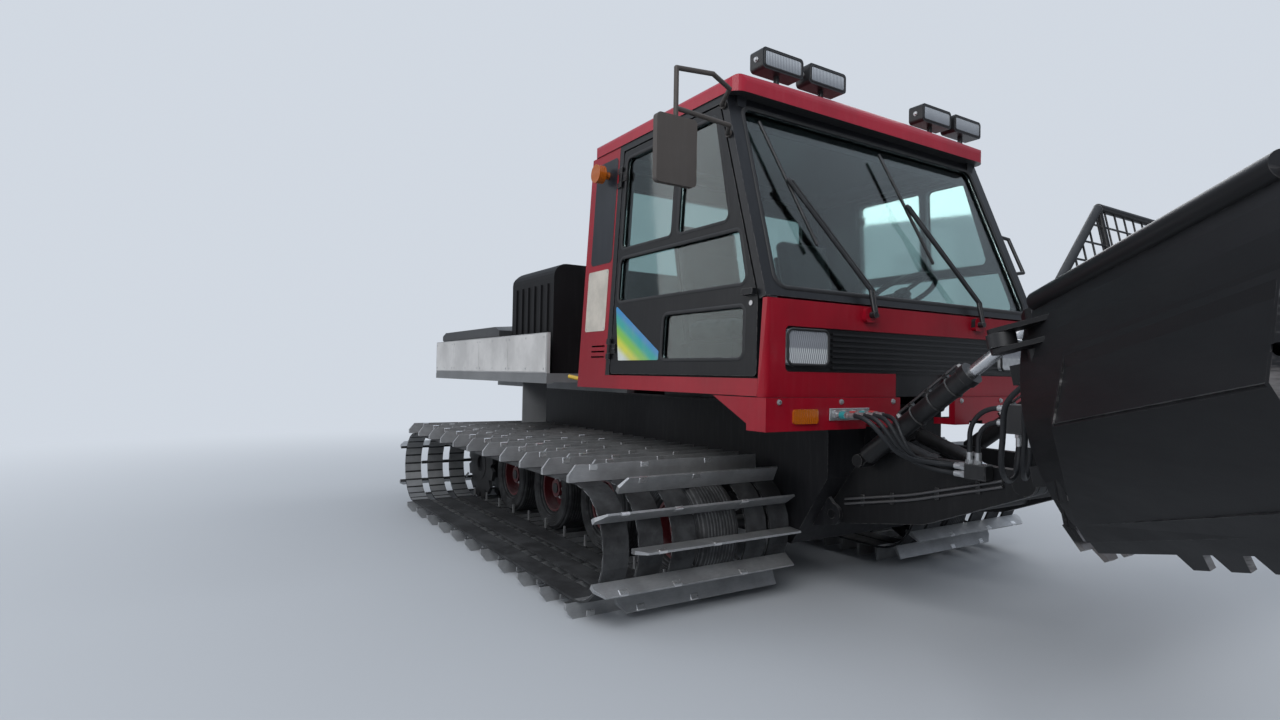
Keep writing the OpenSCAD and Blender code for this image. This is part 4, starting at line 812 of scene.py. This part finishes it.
corner = ((-0.716, 1.440), (-0.657, 1.141), (-0.275, 1.141), (-0.275, 1.184))
corner_colours, tree, shader = new_finish("corner_colours", {"Roughness": 0.38})
spot = own_axes(tree)
across_it = plus(tree, times(tree, minus(tree, spot["X"], datum - 0.716), 1.87),
                 times(tree, minus(tree, spot["Z"], 1.141), 3.3))
shade = (0.62, 0.66, 0.62)
for start, colour in ((0.30, (0.62, 0.62, 0.05)), (0.48, (0.20, 0.50, 0.06)),
                      (0.66, (0.02, 0.34, 0.30)), (0.84, (0.03, 0.22, 0.48))):
    shade = mixed(tree, ramp(tree, across_it, start - 0.06, start + 0.10), shade, colour)
grey = times(tree, add_group(tree, weather, Scale=6.0)["Blotch"], 0.25)
fill(shader, {"Base Color": mixed(tree, grey, shade, (0.30, 0.31, 0.30))})
bumped(tree, shader, add_group(tree, grain, Scale=300)["Height"], 0.05)
lock_metal = steel_finish("lock_metal", (0.50, 0.50, 0.51), 0.28)
for side, body in ((-1, "door_right"), (1, "door_left")):
    outline = outline_rounded([side_point(x, z, 0.0, side) for x, z in corner], 0.008, 2)
    settle(sheet_piece(outline, 0.0011, side_out(side)), "corner_" + body, corner_colours, body, 0)
    lock = copies(dome_screw(0.012, 0.005), [standing(side_point(0.385, 1.372, 0.0, side), side_out(side))])
    settle(lock, "lock_" + body, lock_metal, body)
    hinge_screws = [standing(side_point(-0.712 + dx, z + 0.025, 0.008, side), side_out(side))
                    for z in (1.180, 2.130) for dx in (0.0, 0.016)]
    settle(copies(dome_screw(0.005, 0.002), hinge_screws), "hinge_screws_" + body, black_metal, body)


# Side panels' trim.
# A dark inlay in the upper rear corner on both sides, and a blank pale plate
# held by four screws low on the right side.
inlay_paint = painted("inlay_paint", (0.014, 0.017, 0.022), wear=0.2, dirt=0.08, rough=0.3, streak=0.02,
                      gloss=0.3)
inlay = rectangle(-1.040, 1.690, -0.800, 2.285)
for side, name in ((-1, "right"), (1, "left")):
    outline = outline_rounded([side_point(x, z, 0.0002, side) for x, z in inlay], 0.03)
    settle(sheet_piece(outline, 0.0015, side_out(side)), "inlay_" + name, inlay_paint, "machine",
           0)
plate_pale = painted("plate_pale", (0.50, 0.46, 0.40), bare=(0.3, 0.28, 0.25), wear=0.5, dirt=0.3,
                     dirt_colour=(0.30, 0.26, 0.22), rough=0.5, blotch_scale=7.0)
plate = rectangle(-1.055, 1.308, -0.825, 1.655)
outline = outline_rounded([side_point(x, z, 0.0002, -1) for x, z in plate], 0.012, 3)
settle(sheet_piece(outline, 0.0016, side_out(-1)), "blank_plate", plate_pale, "machine", 0)
plate_corners = [standing(side_point(x, z, 0.0018, -1), side_out(-1))
                 for x in (-1.040, -0.840) for z in (1.324, 1.639)]
fasten(dome_screw(0.005, 0.002), plate_corners, "plate_screws")


# Dashboard and steering wheel.
# Grained black dashboard with three round dials under a hood, a row of rocker
# switches and two levers by the left seat; a black wheel with a plain hub.
dash_plastic = moulded("dash_plastic", (0.022, 0.022, 0.024), rough=0.6, bump=0.35, dirt=0.15)
dress(dash_plastic, "dashboard")
dress(moulded("wheel_plastic", (0.014, 0.014, 0.015), rough=0.4, bump=0.15, dirt=0.1), "steering_wheel")
left_seat_y = 0.380
dash_lean = turned((datum + 0.262, left_seat_y, 1.345), math.radians(-30))
hood = block((0, 0, 0.018), (0.115, 0.42, 0.075), 0.016, 3)
hood.data.transform(dash_lean)
switches = [block((0, 0, 0), (0.030, 0.022, 0.012), 0.003) for i in range(7)]
for i, one in enumerate(switches):
    one.data.transform(turned((datum + 0.335, 0.05 - i * 0.036, 1.369), -0.14))
settle(hood, "dial_hood", dash_plastic, "machine")
settle(join(switches), "rocker_switches", seal_rubber, "machine")
dial_finish, tree, shader = new_finish("dial_face", {"Roughness": 0.2, "Coat Weight": 0.6})
ticks = maths(tree, "GREATER_THAN", maths(tree, "SINE", times(tree, own_axes(tree)["Y"], 700)), 0.7)
fill(shader, {"Base Color": mixed(tree, ticks, (0.02, 0.02, 0.022), (0.55, 0.56, 0.55))})
dials = copies(dome_screw(0.042, 0.006), [dash_lean @ turned((-0.0575, y, 0.018), -math.pi / 2)
                                          for y in (-0.125, 0, 0.125)])
settle(dials, "dials", dial_finish, "machine")


def bent(corners, radius):
    """An open path through the corners, each inner corner rounded."""
    points = [Vector(corners[0])]
    for before, corner_at, after in zip(corners, corners[1:], corners[2:]):
        here = Vector(corner_at)
        start = here + (Vector(before) - here).normalized() * radius
        stop = here + (Vector(after) - here).normalized() * radius
        points += [start.lerp(here, t).lerp(here.lerp(stop, t), t) for t in (0, 0.25, 0.5, 0.75, 1)]
    return points + [Vector(corners[-1])]


def pipe(points, radius, sides=10):
    """A round bar or line along the points, closed at both ends."""
    made = bmesh.new()
    rows = []
    side = None
    for i, here in enumerate(points):
        forward = (points[min(i + 1, len(points) - 1)] - points[max(i - 1, 0)]).normalized()
        side = forward.orthogonal() if side is None else side - forward * side.dot(forward)
        side = side.normalized()
        rows.append([made.verts.new(here + (side * math.cos(a) + forward.cross(side) * math.sin(a)) * radius)
                     for a in (2 * math.pi * k / sides for k in range(sides))])
    skin(made, rows)
    made.faces.new(rows[0])
    made.faces.new(rows[-1])
    return turned_out(made)


levers = []
for y, lean in ((0.02, 0.05), (-0.06, -0.02)):
    foot = Vector((datum - 0.30, y, 1.022))
    stick = [foot, foot + Vector((lean, 0, 0.30)), foot + Vector((0.06 + lean, 0, 0.42))]
    knob = [foot + Vector((0.058 + lean, 0, 0.415)), foot + Vector((0.085 + lean, 0, 0.475))]
    levers += [pipe(bent(stick, 0.05), 0.009), pipe(knob, 0.019)]
settle(join(levers), "levers", black_metal, "machine", 60)


# Seats.
# Two seats of black woven cloth over foam, each a base and a back with two
# sewn channels; a cloth simulation blows up each pad inside its own solid.
seat_cloth, tree, shader = new_finish("seat_cloth", {"Roughness": 0.9, "Sheen Weight": 0.35})
spot = own_axes(tree)
threads = times(tree, wave(tree, spot["Y"], 0.0028), wave(tree, plus(tree, spot["X"], spot["Z"]), 0.0028))
weave = mixed(tree, ramp(tree, threads, -1, 1), (0.012, 0.012, 0.014), (0.050, 0.050, 0.056))
dust = times(tree, add_group(tree, weather, Scale=5.0)["Blotch"], 0.2)
fill(shader, {"Base Color": mixed(tree, dust, weave, (0.11, 0.105, 0.10))})
bumped(tree, shader, threads, 0.5, 0.0008)
swell = 0.011


def pad(name, size, place, channels, along):
    """A padded cushion of this size round its own origin, then stood in its place."""
    made = block((0, 0, 0), [side - 2 * swell for side in size], 0.035, 4)
    alone(made)
    made.data.remesh_voxel_size = 0.010
    bpy.ops.object.voxel_remesh()
    rest = [v.co.copy() for v in made.data.vertices]
    cloth = made.modifiers.new("swell", "CLOTH")
    cloth.settings.use_pressure = True
    cloth.settings.uniform_pressure_force = 4.0
    cloth.settings.effector_weights.gravity = 0.0
    cloth.point_cache.frame_end = 16
    for step in range(1, 17):
        bpy.context.scene.frame_set(step)
    swollen = made.evaluated_get(bpy.context.evaluated_depsgraph_get()).to_mesh()
    moved = [v.co.copy() for v in swollen.vertices]
    made.modifiers.remove(cloth)
    for vertex, start, stop in zip(made.data.vertices, rest, moved):
        shift = stop - start
        vertex.co = start + shift * min(1.0, swell / max(shift.length, 1e-6))
    for vertex in made.data.vertices:
        at = vertex.co
        limit = [side / 2 for side in size]
        crown = (1 - (at[along[0]] / limit[along[0]]) ** 2) * (1 - (at[along[1]] / limit[along[1]]) ** 2)
        sunk = sum(math.exp(-((at[along[0]] - c) / 0.009) ** 2) for c in channels)
        outer = 1 if at[along[2]] > 0 else 0
        at[along[2]] += outer * (0.006 * crown - 0.008 * sunk)
        for k in range(3):
            at[k] = max(-limit[k], min(limit[k], at[k]))
    made.data.transform(place)
    settle(made, name, seat_cloth, "machine", 60)
    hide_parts("seat_pads")


for who, y in (("driver", left_seat_y), ("mate", -0.400)):
    base = Matrix.Translation((datum - 0.395, y, 1.3153))
    lean = turned((datum - 0.655, y, 1.300), math.radians(-12))
    back = lean @ Matrix.Translation((0.0708, 0, 0.366))
    pad("cushion_" + who, (0.430, 0.470, 0.110), base, (-0.08, 0.07), (0, 1, 2))
    pad("backrest_" + who, (0.105, 0.450, 0.560), back, (-0.10, 0.09), (2, 1, 0))


# Roof lamps, mirror, handle, wipers and blind.
# Black lamp housings with fluted lenses in rubber rings; a mirror in a brown
# plastic shell; a ribbed blind behind the top of the windscreen.
dress(moulded("lamp_housing", (0.012, 0.012, 0.013), rough=0.4, dirt=0.2), "work_lamps")
work_lens, tree, shader = new_finish("work_lens", {"Metallic": 0.45, "Roughness": 0.16, "Coat Weight": 0.9})
spot = own_axes(tree)
flutes = wave(tree, spot["Y"], 0.010)
# Painted shade: each lens is made darker towards its foot and lighter above.
painted_bowl_shade = ramp(tree, spot["Z"], 2.51, 2.59, 0.25, 1.0)
bright = mixed(tree, ramp(tree, flutes, -1, 1), (0.26, 0.28, 0.30), (0.74, 0.76, 0.78))
fill(shader, {"Base Color": mixed(tree, painted_bowl_shade, (0.16, 0.17, 0.19), bright)})
bumped(tree, shader, flutes, 0.4, 0.0012)
lenses, bezels, nuts = [], [], []
for y in (-0.620, -0.320, 0.560, 0.850):
    flat = [(datum + 0.1481, y + dy, 2.552 + dz)
            for dy, dz in rectangle(-0.118, -0.037, 0.118, 0.037)]
    outline = outline_rounded(flat, 0.014)
    lenses.append(sheet_piece(outline, 0.0015, (1, 0, 0)))
    bezels.append(ring_piece(outline, 0.0055, 0.7, (1, 0, 0)))
    nuts += [standing((datum + 0.104, y + side * 0.1311, 2.552), (0, side, 0)) for side in (-1, 1)]
settle(join(lenses), "work_lenses", work_lens, "machine", 0)
settle(join(bezels), "work_bezels", seal_rubber, "machine", 60)
fasten(hex_bolt(0.018, 0.010), nuts, "work_lamp_nuts")

dress(moulded("mirror_back", (0.062, 0.052, 0.046), rough=0.6, dirt=0.3), "side_mirror")
silver, tree, shader = new_finish("mirror_silver", {"Base Color": (0.82, 0.85, 0.88), "Metallic": 1.0})
fill(shader, {"Roughness": ramp(tree, noise(tree, 9, 5, 0.6), 0.45, 0.7, 0.02, 0.14)})
flat = [(datum + 0.3118, y, z)
        for y, z in rectangle(-1.278, 1.827, -1.446, 2.073)]
settle(sheet_piece(outline_rounded(flat, 0.012), 0.0012, (-1, 0, 0)), "mirror_glass", silver, "machine",
       0)
dress(black_metal, "grab_handle", "wipers")
blind_cloth, tree, shader = new_finish("blind_cloth", {"Roughness": 0.7})
ribs = wave(tree, own_axes(tree)["Y"], 0.004)
fill(shader, {"Base Color": mixed(tree, ramp(tree, ribs, -1, 1), (0.008, 0.010, 0.012),
                                  (0.022, 0.026, 0.030))})
bumped(tree, shader, ribs, 0.3, 0.0008)
flat = [screen_point(y, up, -0.046)
        for y, up in rectangle(-0.86, 0.872, 0.86, 0.955)]
settle(sheet_piece(outline_rounded(flat, 0.012), 0.003, screen_out), "sun_blind", blind_cloth, "machine",
       0)


# Bumper's fittings, tap and mud flaps.
# Four quick couplers for the blade's hydraulics, with coloured caps, in a steel
# strip on the bumper; a yellow tap lever behind the cab, two flaps at the rear.
strip = block((datum + 0.5085, -0.550, 0.915), (0.006, 0.250, 0.052), 0.0018)
settle(strip, "coupler_strip", zinc, "machine")
coupler_y = (-0.640, -0.580, -0.520, -0.460)
bodies_made, caps = [], {"red": [], "teal": []}
for i, y in enumerate(coupler_y):
    root = Vector((datum + 0.5110, y, 0.915))
    bodies_made.append(pipe([root, root + Vector((0.034, 0, 0))], 0.0125, 12))
    bodies_made.append(pipe([root, root + Vector((0.014, 0, 0))], 0.0185, 6))
    caps["red" if i % 2 else "teal"].append(
        pipe([root + Vector((0.030, 0, 0)), root + Vector((0.056, 0, 0))], 0.0165, 14))
settle(join(bodies_made), "couplers", zinc, "machine", 40)
for label, colour in (("red", (0.42, 0.02, 0.02)), ("teal", (0.02, 0.26, 0.28))):
    settle(join(caps[label]), "caps_" + label, moulded("cap_" + label, colour, rough=0.4, dirt=0.2),
           "machine", 40)
bumper_bolts = [standing((datum + 0.505, side * y, 0.968), (1, 0, 0))
                for side in (-1, 1) for y in (0.26, 0.60, 0.96)]
fasten(hex_bolt(0.017, 0.009), bumper_bolts, "bumper_bolts")
tap_yellow = painted("tap_yellow", (0.62, 0.40, 0.02), bare=(0.4, 0.38, 0.34), wear=0.5, dirt=0.3)
tap = [Vector((wall_x + 0.001, -0.985, 1.036)), Vector((wall_x - 0.060, -0.985, 1.036)),
       Vector((wall_x - 0.165, -1.000, 1.048))]
settle(join([pipe(bent(tap, 0.03), 0.0125), pipe([tap[0], tap[0] + Vector((-0.016, 0, 0))], 0.024, 12)]),
       "tap_lever", tap_yellow, "machine", 50)
flaps = [block((datum - 1.915, side * 0.940, 0.861), (0.006, 0.180, 0.276), 0.002) for side in (-1, 1)]
settle(join(flaps), "mud_flaps", grey_paint, "machine")


# Lift frame, tilt head and their cylinders.
# Black painted steel, worn bright at its edges; black barrels with ground
# chrome rods; steel lines with clamps run along the barrels and the arms.
blade_black = painted("blade_black", (0.006, 0.006, 0.007), wear=0.55, dirt=0.10, rough=0.45, streak=0.015,
                      gloss=0.3)
dress(blade_black, "lift_frame", "tilt_head", "overfill_guard")
barrel_paint = painted("barrel_paint", (0.010, 0.010, 0.011), wear=0.5, dirt=0.15, rough=0.38, streak=0.02,
                       gloss=0.4)
dress(barrel_paint, "lift_barrels", "pitch_barrels", "swing_barrel", "wing_barrel_left", "wing_barrel_right")


def rod_finish(name, eye_at):
    """Ground chrome on the rod, black paint on its eye, on both sides of the machine."""
    made = steel_finish(name, (0.62, 0.63, 0.65), 0.14, (4, 60, 60), 0.03, 0.08)
    tree = made.node_tree
    shader = tree.nodes["Principled BSDF"]
    folded = put(tree, "VectorMath", {0: put(tree, "TexCoord").outputs["Object"]}, operation="ABSOLUTE")
    apart = put(tree, "VectorMath", {0: folded.outputs[0], 1: [abs(c) for c in eye_at]}, operation="DISTANCE")
    on_eye = ramp(tree, apart.outputs["Value"], 0.044, 0.048, 1.0, 0.0)
    bright, dull = (shader.inputs[label].links[0].from_socket for label in ("Base Color", "Roughness"))
    fill(shader, {"Base Color": mixed(tree, on_eye, bright, (0.010, 0.010, 0.011)),
                  "Metallic": ramp(tree, on_eye, 0, 1, 0.9, 0.0),
                  "Roughness": maths(tree, "MAXIMUM", dull, times(tree, on_eye, 0.45))})
    return made


blade_h, blade_bow, blade_hw = 0.665, 0.080, 0.900
wing_fold = math.radians(54)
blade_turn = turned((datum + 1.610, 0, 0.640), math.radians(-11.9))
wing_eye = blade_turn @ Vector((-0.105 * math.cos(wing_fold), -blade_hw - 0.105 * math.sin(wing_fold),
                                blade_h - 0.095))
for name, eye_at, nodes in (
        ("lift", (datum + 0.800, 0.140, 0.640), ("lift_rods",)),
        ("pitch", (datum + 1.215, 0.385, 1.290), ("pitch_rods",)),
        ("swing", (datum + 1.300, 0.180, 0.880), ("swing_rod",)),
        ("wing", wing_eye, ("wing_rod_left", "wing_rod_right"))):
    dress(rod_finish(name + "_rod_chrome", eye_at), *nodes)
pitch_foot, pitch_eye, pitch_y = Vector((0.440, 0, 0.700)), Vector((1.215, 0, 1.290)), 0.385
pitch_way = (pitch_eye - pitch_foot).normalized()
pitch_up = Vector((-pitch_way.z, 0, pitch_way.x))


def over_barrel(along, up, y):
    return Vector((datum, y, 0)) + pitch_foot + pitch_way * along + pitch_up * up


lines, clamps, arm_lines, arm_clamps = [], [], [], []
for side in (-1, 1):
    y = side * pitch_y
    line = [over_barrel(a, u, y) for a, u in ((0.280, 0.040), (0.280, 0.062), (0.630, 0.062), (0.630, 0.046))]
    lines.append(pipe(bent(line, 0.014), 0.006))
    for a in (0.280, 0.630):
        lines.append(pipe([over_barrel(a, 0.036, y), over_barrel(a, 0.058, y)], 0.013, 6))
    for a in (0.36, 0.46, 0.56):
        ring = [over_barrel(a, 0.0435 * math.cos(t), y) + Vector((0, 0.0435 * math.sin(t), 0))
                for t in (2 * math.pi * k / 24 for k in range(24))]
        clamps.append(ring_piece(ring, 0.004, 1.0, pitch_way))
        clamps.append(pipe([over_barrel(a - 0.009, 0.055, y), over_barrel(a + 0.009, 0.055, y)], 0.013, 8))
    for drop in (0.0, 0.022):
        way = [Vector((datum + x, side * 0.3315, z - drop))
               for x, z in ((0.300, 0.500), (0.660, 0.575), (1.060, 0.690))]
        arm_lines.append(pipe(bent(way, 0.06), 0.0062))
    for x, z in ((0.400, 0.5208), (0.560, 0.5542), (0.780, 0.6095), (0.960, 0.6613)):
        arm_clamps.append(block((datum + x, side * 0.3285, z - 0.011), (0.020, 0.007, 0.052), 0.002))
line_steel = steel_finish("line_steel", (0.15, 0.15, 0.155), 0.42)
settle(join(lines), "barrel_lines", line_steel, "pitch_barrels", 40)
settle(join(clamps), "barrel_clamps", black_metal, "pitch_barrels", 40)
settle(join(arm_lines), "arm_lines", line_steel, "lift_frame", 40)
settle(join(arm_clamps), "arm_clamps", black_metal, "lift_frame", 40)


# Hoses.
# Rubber hydraulic hoses, 19 mm outside, with crimped steel ends: four from the
# couplers to a bracket on the right arm, two on to the head, two to the blade.
hose_rubber, tree, shader = new_finish("hose_rubber")
blotch = add_group(tree, weather, Scale=9.0)["Blotch"]
shade = mixed(tree, times(tree, blotch, 0.3), (0.007, 0.008, 0.010), (0.020, 0.022, 0.026))
fill(shader, {"Base Color": shade, "Roughness": ramp(tree, blotch, 0, 1, 0.5, 0.72)})
bumped(tree, shader, add_group(tree, grain, Scale=380.0)["Height"], 0.25)


def swept(stops, straight):
    """A hose's route: straight out of both ends by these lengths, and between its
    stops, each a place, a way and a pull, one smooth curve to the next."""
    places = [Vector((datum, 0, 0)) + Vector(place) for place, way, pull in stops]
    ways = [Vector(way).normalized() for place, way, pull in stops]
    first, last = places[0], places[-1]
    places[0] = first + ways[0] * straight[0]
    places[-1] = last - ways[-1] * straight[1]
    route = [first, (first + places[0]) / 2, places[0]]
    for k in range(len(stops) - 1):
        start, end = places[k], places[k + 1]
        out, into = start + ways[k] * stops[k][2], end - ways[k + 1] * stops[k + 1][2]
        for t in (i / 14 for i in range(1, 15)):
            u = 1 - t
            route.append(start * u ** 3 + out * 3 * t * u ** 2 + into * 3 * t ** 2 * u + end * t ** 3)
    return route + [(places[-1] + last) / 2, last]


def hose(name, route, sunk):
    """A hose from one body to the next along this route, its ends sunk in their
    fittings by these lengths; gives its two crimped ends."""
    piece = finished(pipe(route, 0.0095, 12), name, hose_rubber, 60)
    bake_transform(piece)
    ends = []
    for at, on, deep in ((route[0], route[1], sunk[0]), (route[-1], route[-2], sunk[1])):
        way = (on - at).normalized()
        ends.append([pipe([at + way * (deep - 0.002), at + way * (deep + 0.044)], 0.0125, 12),
                     pipe([at + way * (deep - 0.002), at + way * (deep + 0.014)], 0.0155, 6)])
    return ends


settle(block((datum + 0.975, -0.3535, 0.715), (0.090, 0.056, 0.062), 0.004), "hose_bracket", black_metal,
       "lift_frame")
settle(block((datum + 1.165, -0.3725, 0.930), (0.120, 0.044, 0.110), 0.004), "head_block", black_metal,
       "tilt_head")
ends_on = {"machine": [], "lift_frame": [], "tilt_head": [], "blade": []}
coupler_runs = ((-0.575, 0.80, -0.368, 0.730), (-0.540, 0.60, -0.368, 0.700),
                (-0.505, 0.45, -0.340, 0.730), (-0.480, 0.20, -0.340, 0.700))
for i, (half_y, half_way, end_y, end_z) in enumerate(coupler_runs):
    route = swept((((0.532, coupler_y[i], 0.915), (1, 0, 0), 0.085),
                   ((0.740, half_y, 0.800), (0.45, half_way, -1), 0.090),
                   ((0.940, end_y, end_z), (1, 0, 0), 0.110)), (0.070, 0.050))
    first, last = hose("hose_coupler_" + str(i + 1), route, (0.036, 0.010))
    ends_on["machine"] += first
    ends_on["lift_frame"] += last
quarter_pull = 0.552
for i, (x, z) in enumerate(((0.946, 0.966), (0.981, 0.912))):
    radius = 1.061 - x
    route = swept((((x, -0.366, 0.735), (0, 0, 1), quarter_pull * radius),
                   ((1.120, -0.366, z), (1, 0, 0), quarter_pull * radius)), (z - radius - 0.735, 0.059))
    first, last = hose("hose_head_" + str(i + 1), route, (0.011, 0.015))
    ends_on["lift_frame"] += first
    ends_on["tilt_head"] += last
for i, (x, y, low, turn) in enumerate(((1.145, -0.690, (1.245, -0.660, 0.840), 0.18),
                                       (1.185, -0.580, (1.270, -0.570, 0.830), 0.14))):
    route = swept((((x, -0.372, 0.885), (0, 0, -1), turn), (low, (0.15, -0.06, 1), 0.13),
                   ((1.375, y, 1.087), (0.8, 0, 0.6), 0.12)), (0.054, 0.044))
    first, last = hose("hose_blade_" + str(i + 1), route, (0.010, 0.000))
    ends_on["tilt_head"] += first
    ends_on["blade"] += last
for body, ends in ends_on.items():
    settle(join(ends), "hose_ends_" + body, zinc, body, 40)


# Blade and wings.
# Black paint outside; the hollow faces are scoured to bare steel towards the
# foot, and the cutting edges and teeth are bare and pitted.
moldboard, tree, shader = new_finish("moldboard", {"Specular IOR Level": 0.3})
height = own_axes(tree)["Z"]
marks = add_group(tree, weather, Scale=2.0)
worn = add_group(tree, edge_wear, Radius=0.003, Amount=0.25)["Mask"]
rub = noise(tree, 2.5, 6, 0.7, (1, 1, 5))
low_down = times(tree, ramp(tree, height, 0.62, 1.25, 1.0, 0.30), 0.30)
in_front = ramp(tree, own_axes(tree, "Normal")["X"], 0.2, 0.4)
scoured = times(tree, ramp(tree, plus(tree, rub, low_down), 0.62, 0.78), in_front)
at_foot = ramp(tree, height, 0.615, 0.640, 0.85, 0.0)
bare = maths(tree, "MAXIMUM", maths(tree, "MAXIMUM", scoured, at_foot), worn)
steel = mixed(tree, noise(tree, 14, 5, 0.7, (1, 1, 6)), (0.16, 0.16, 0.165), (0.34, 0.34, 0.345))
steel = mixed(tree, times(tree, marks["Blotch"], 0.4), steel, (0.13, 0.085, 0.06))
paint = mixed(tree, marks["Blotch"], (0.0055, 0.0055, 0.0065), (0.0085, 0.0085, 0.0095))
paint = mixed(tree, times(tree, marks["Settled"], 0.12), paint, (0.30, 0.31, 0.32))
fill(shader, {"Base Color": mixed(tree, bare, paint, steel), "Metallic": times(tree, bare, 0.85),
              "Roughness": ramp(tree, rub, 0.2, 0.8, 0.36, 0.52)})
relief = plus(tree, add_group(tree, grain, Scale=240.0)["Height"], times(tree, bare, -0.8))
bumped(tree, shader, relief, 0.12)
dress(moldboard, "blade", "wing_left", "wing_right")

foot_turn = Matrix.Rotation(-math.atan(4 * blade_bow / blade_h), 4, "Y")
edge_places = [blade_turn @ foot_turn @ turned((-0.0004, i * 0.112, 0.034), math.pi / 2)
               for i in range(-7, 8)]
fasten(dome_screw(0.013, 0.004), edge_places, "edge_bolts", "blade")
for side, body in ((-1, "wing_right"), (1, "wing_left")):
    fold = turned((0, side * blade_hw, 0), -side * wing_fold, "Z")
    rise = Matrix.Rotation(side * math.atan(0.075 / 0.900), 4, "X")
    places = [blade_turn @ fold @ foot_turn @ rise
              @ turned((-0.0004, side * (0.20 + i * 0.112), 0.045), math.pi / 2) for i in range(6)]
    fasten(dome_screw(0.013, 0.004), places, "edge_bolts_" + body, body)
pins = [standing((datum + 1.270, 0, 1.180), (0, 0, 1))]
fasten(hex_bolt(0.046, 0.024), pins, "king_nut", "tilt_head")

low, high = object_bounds()
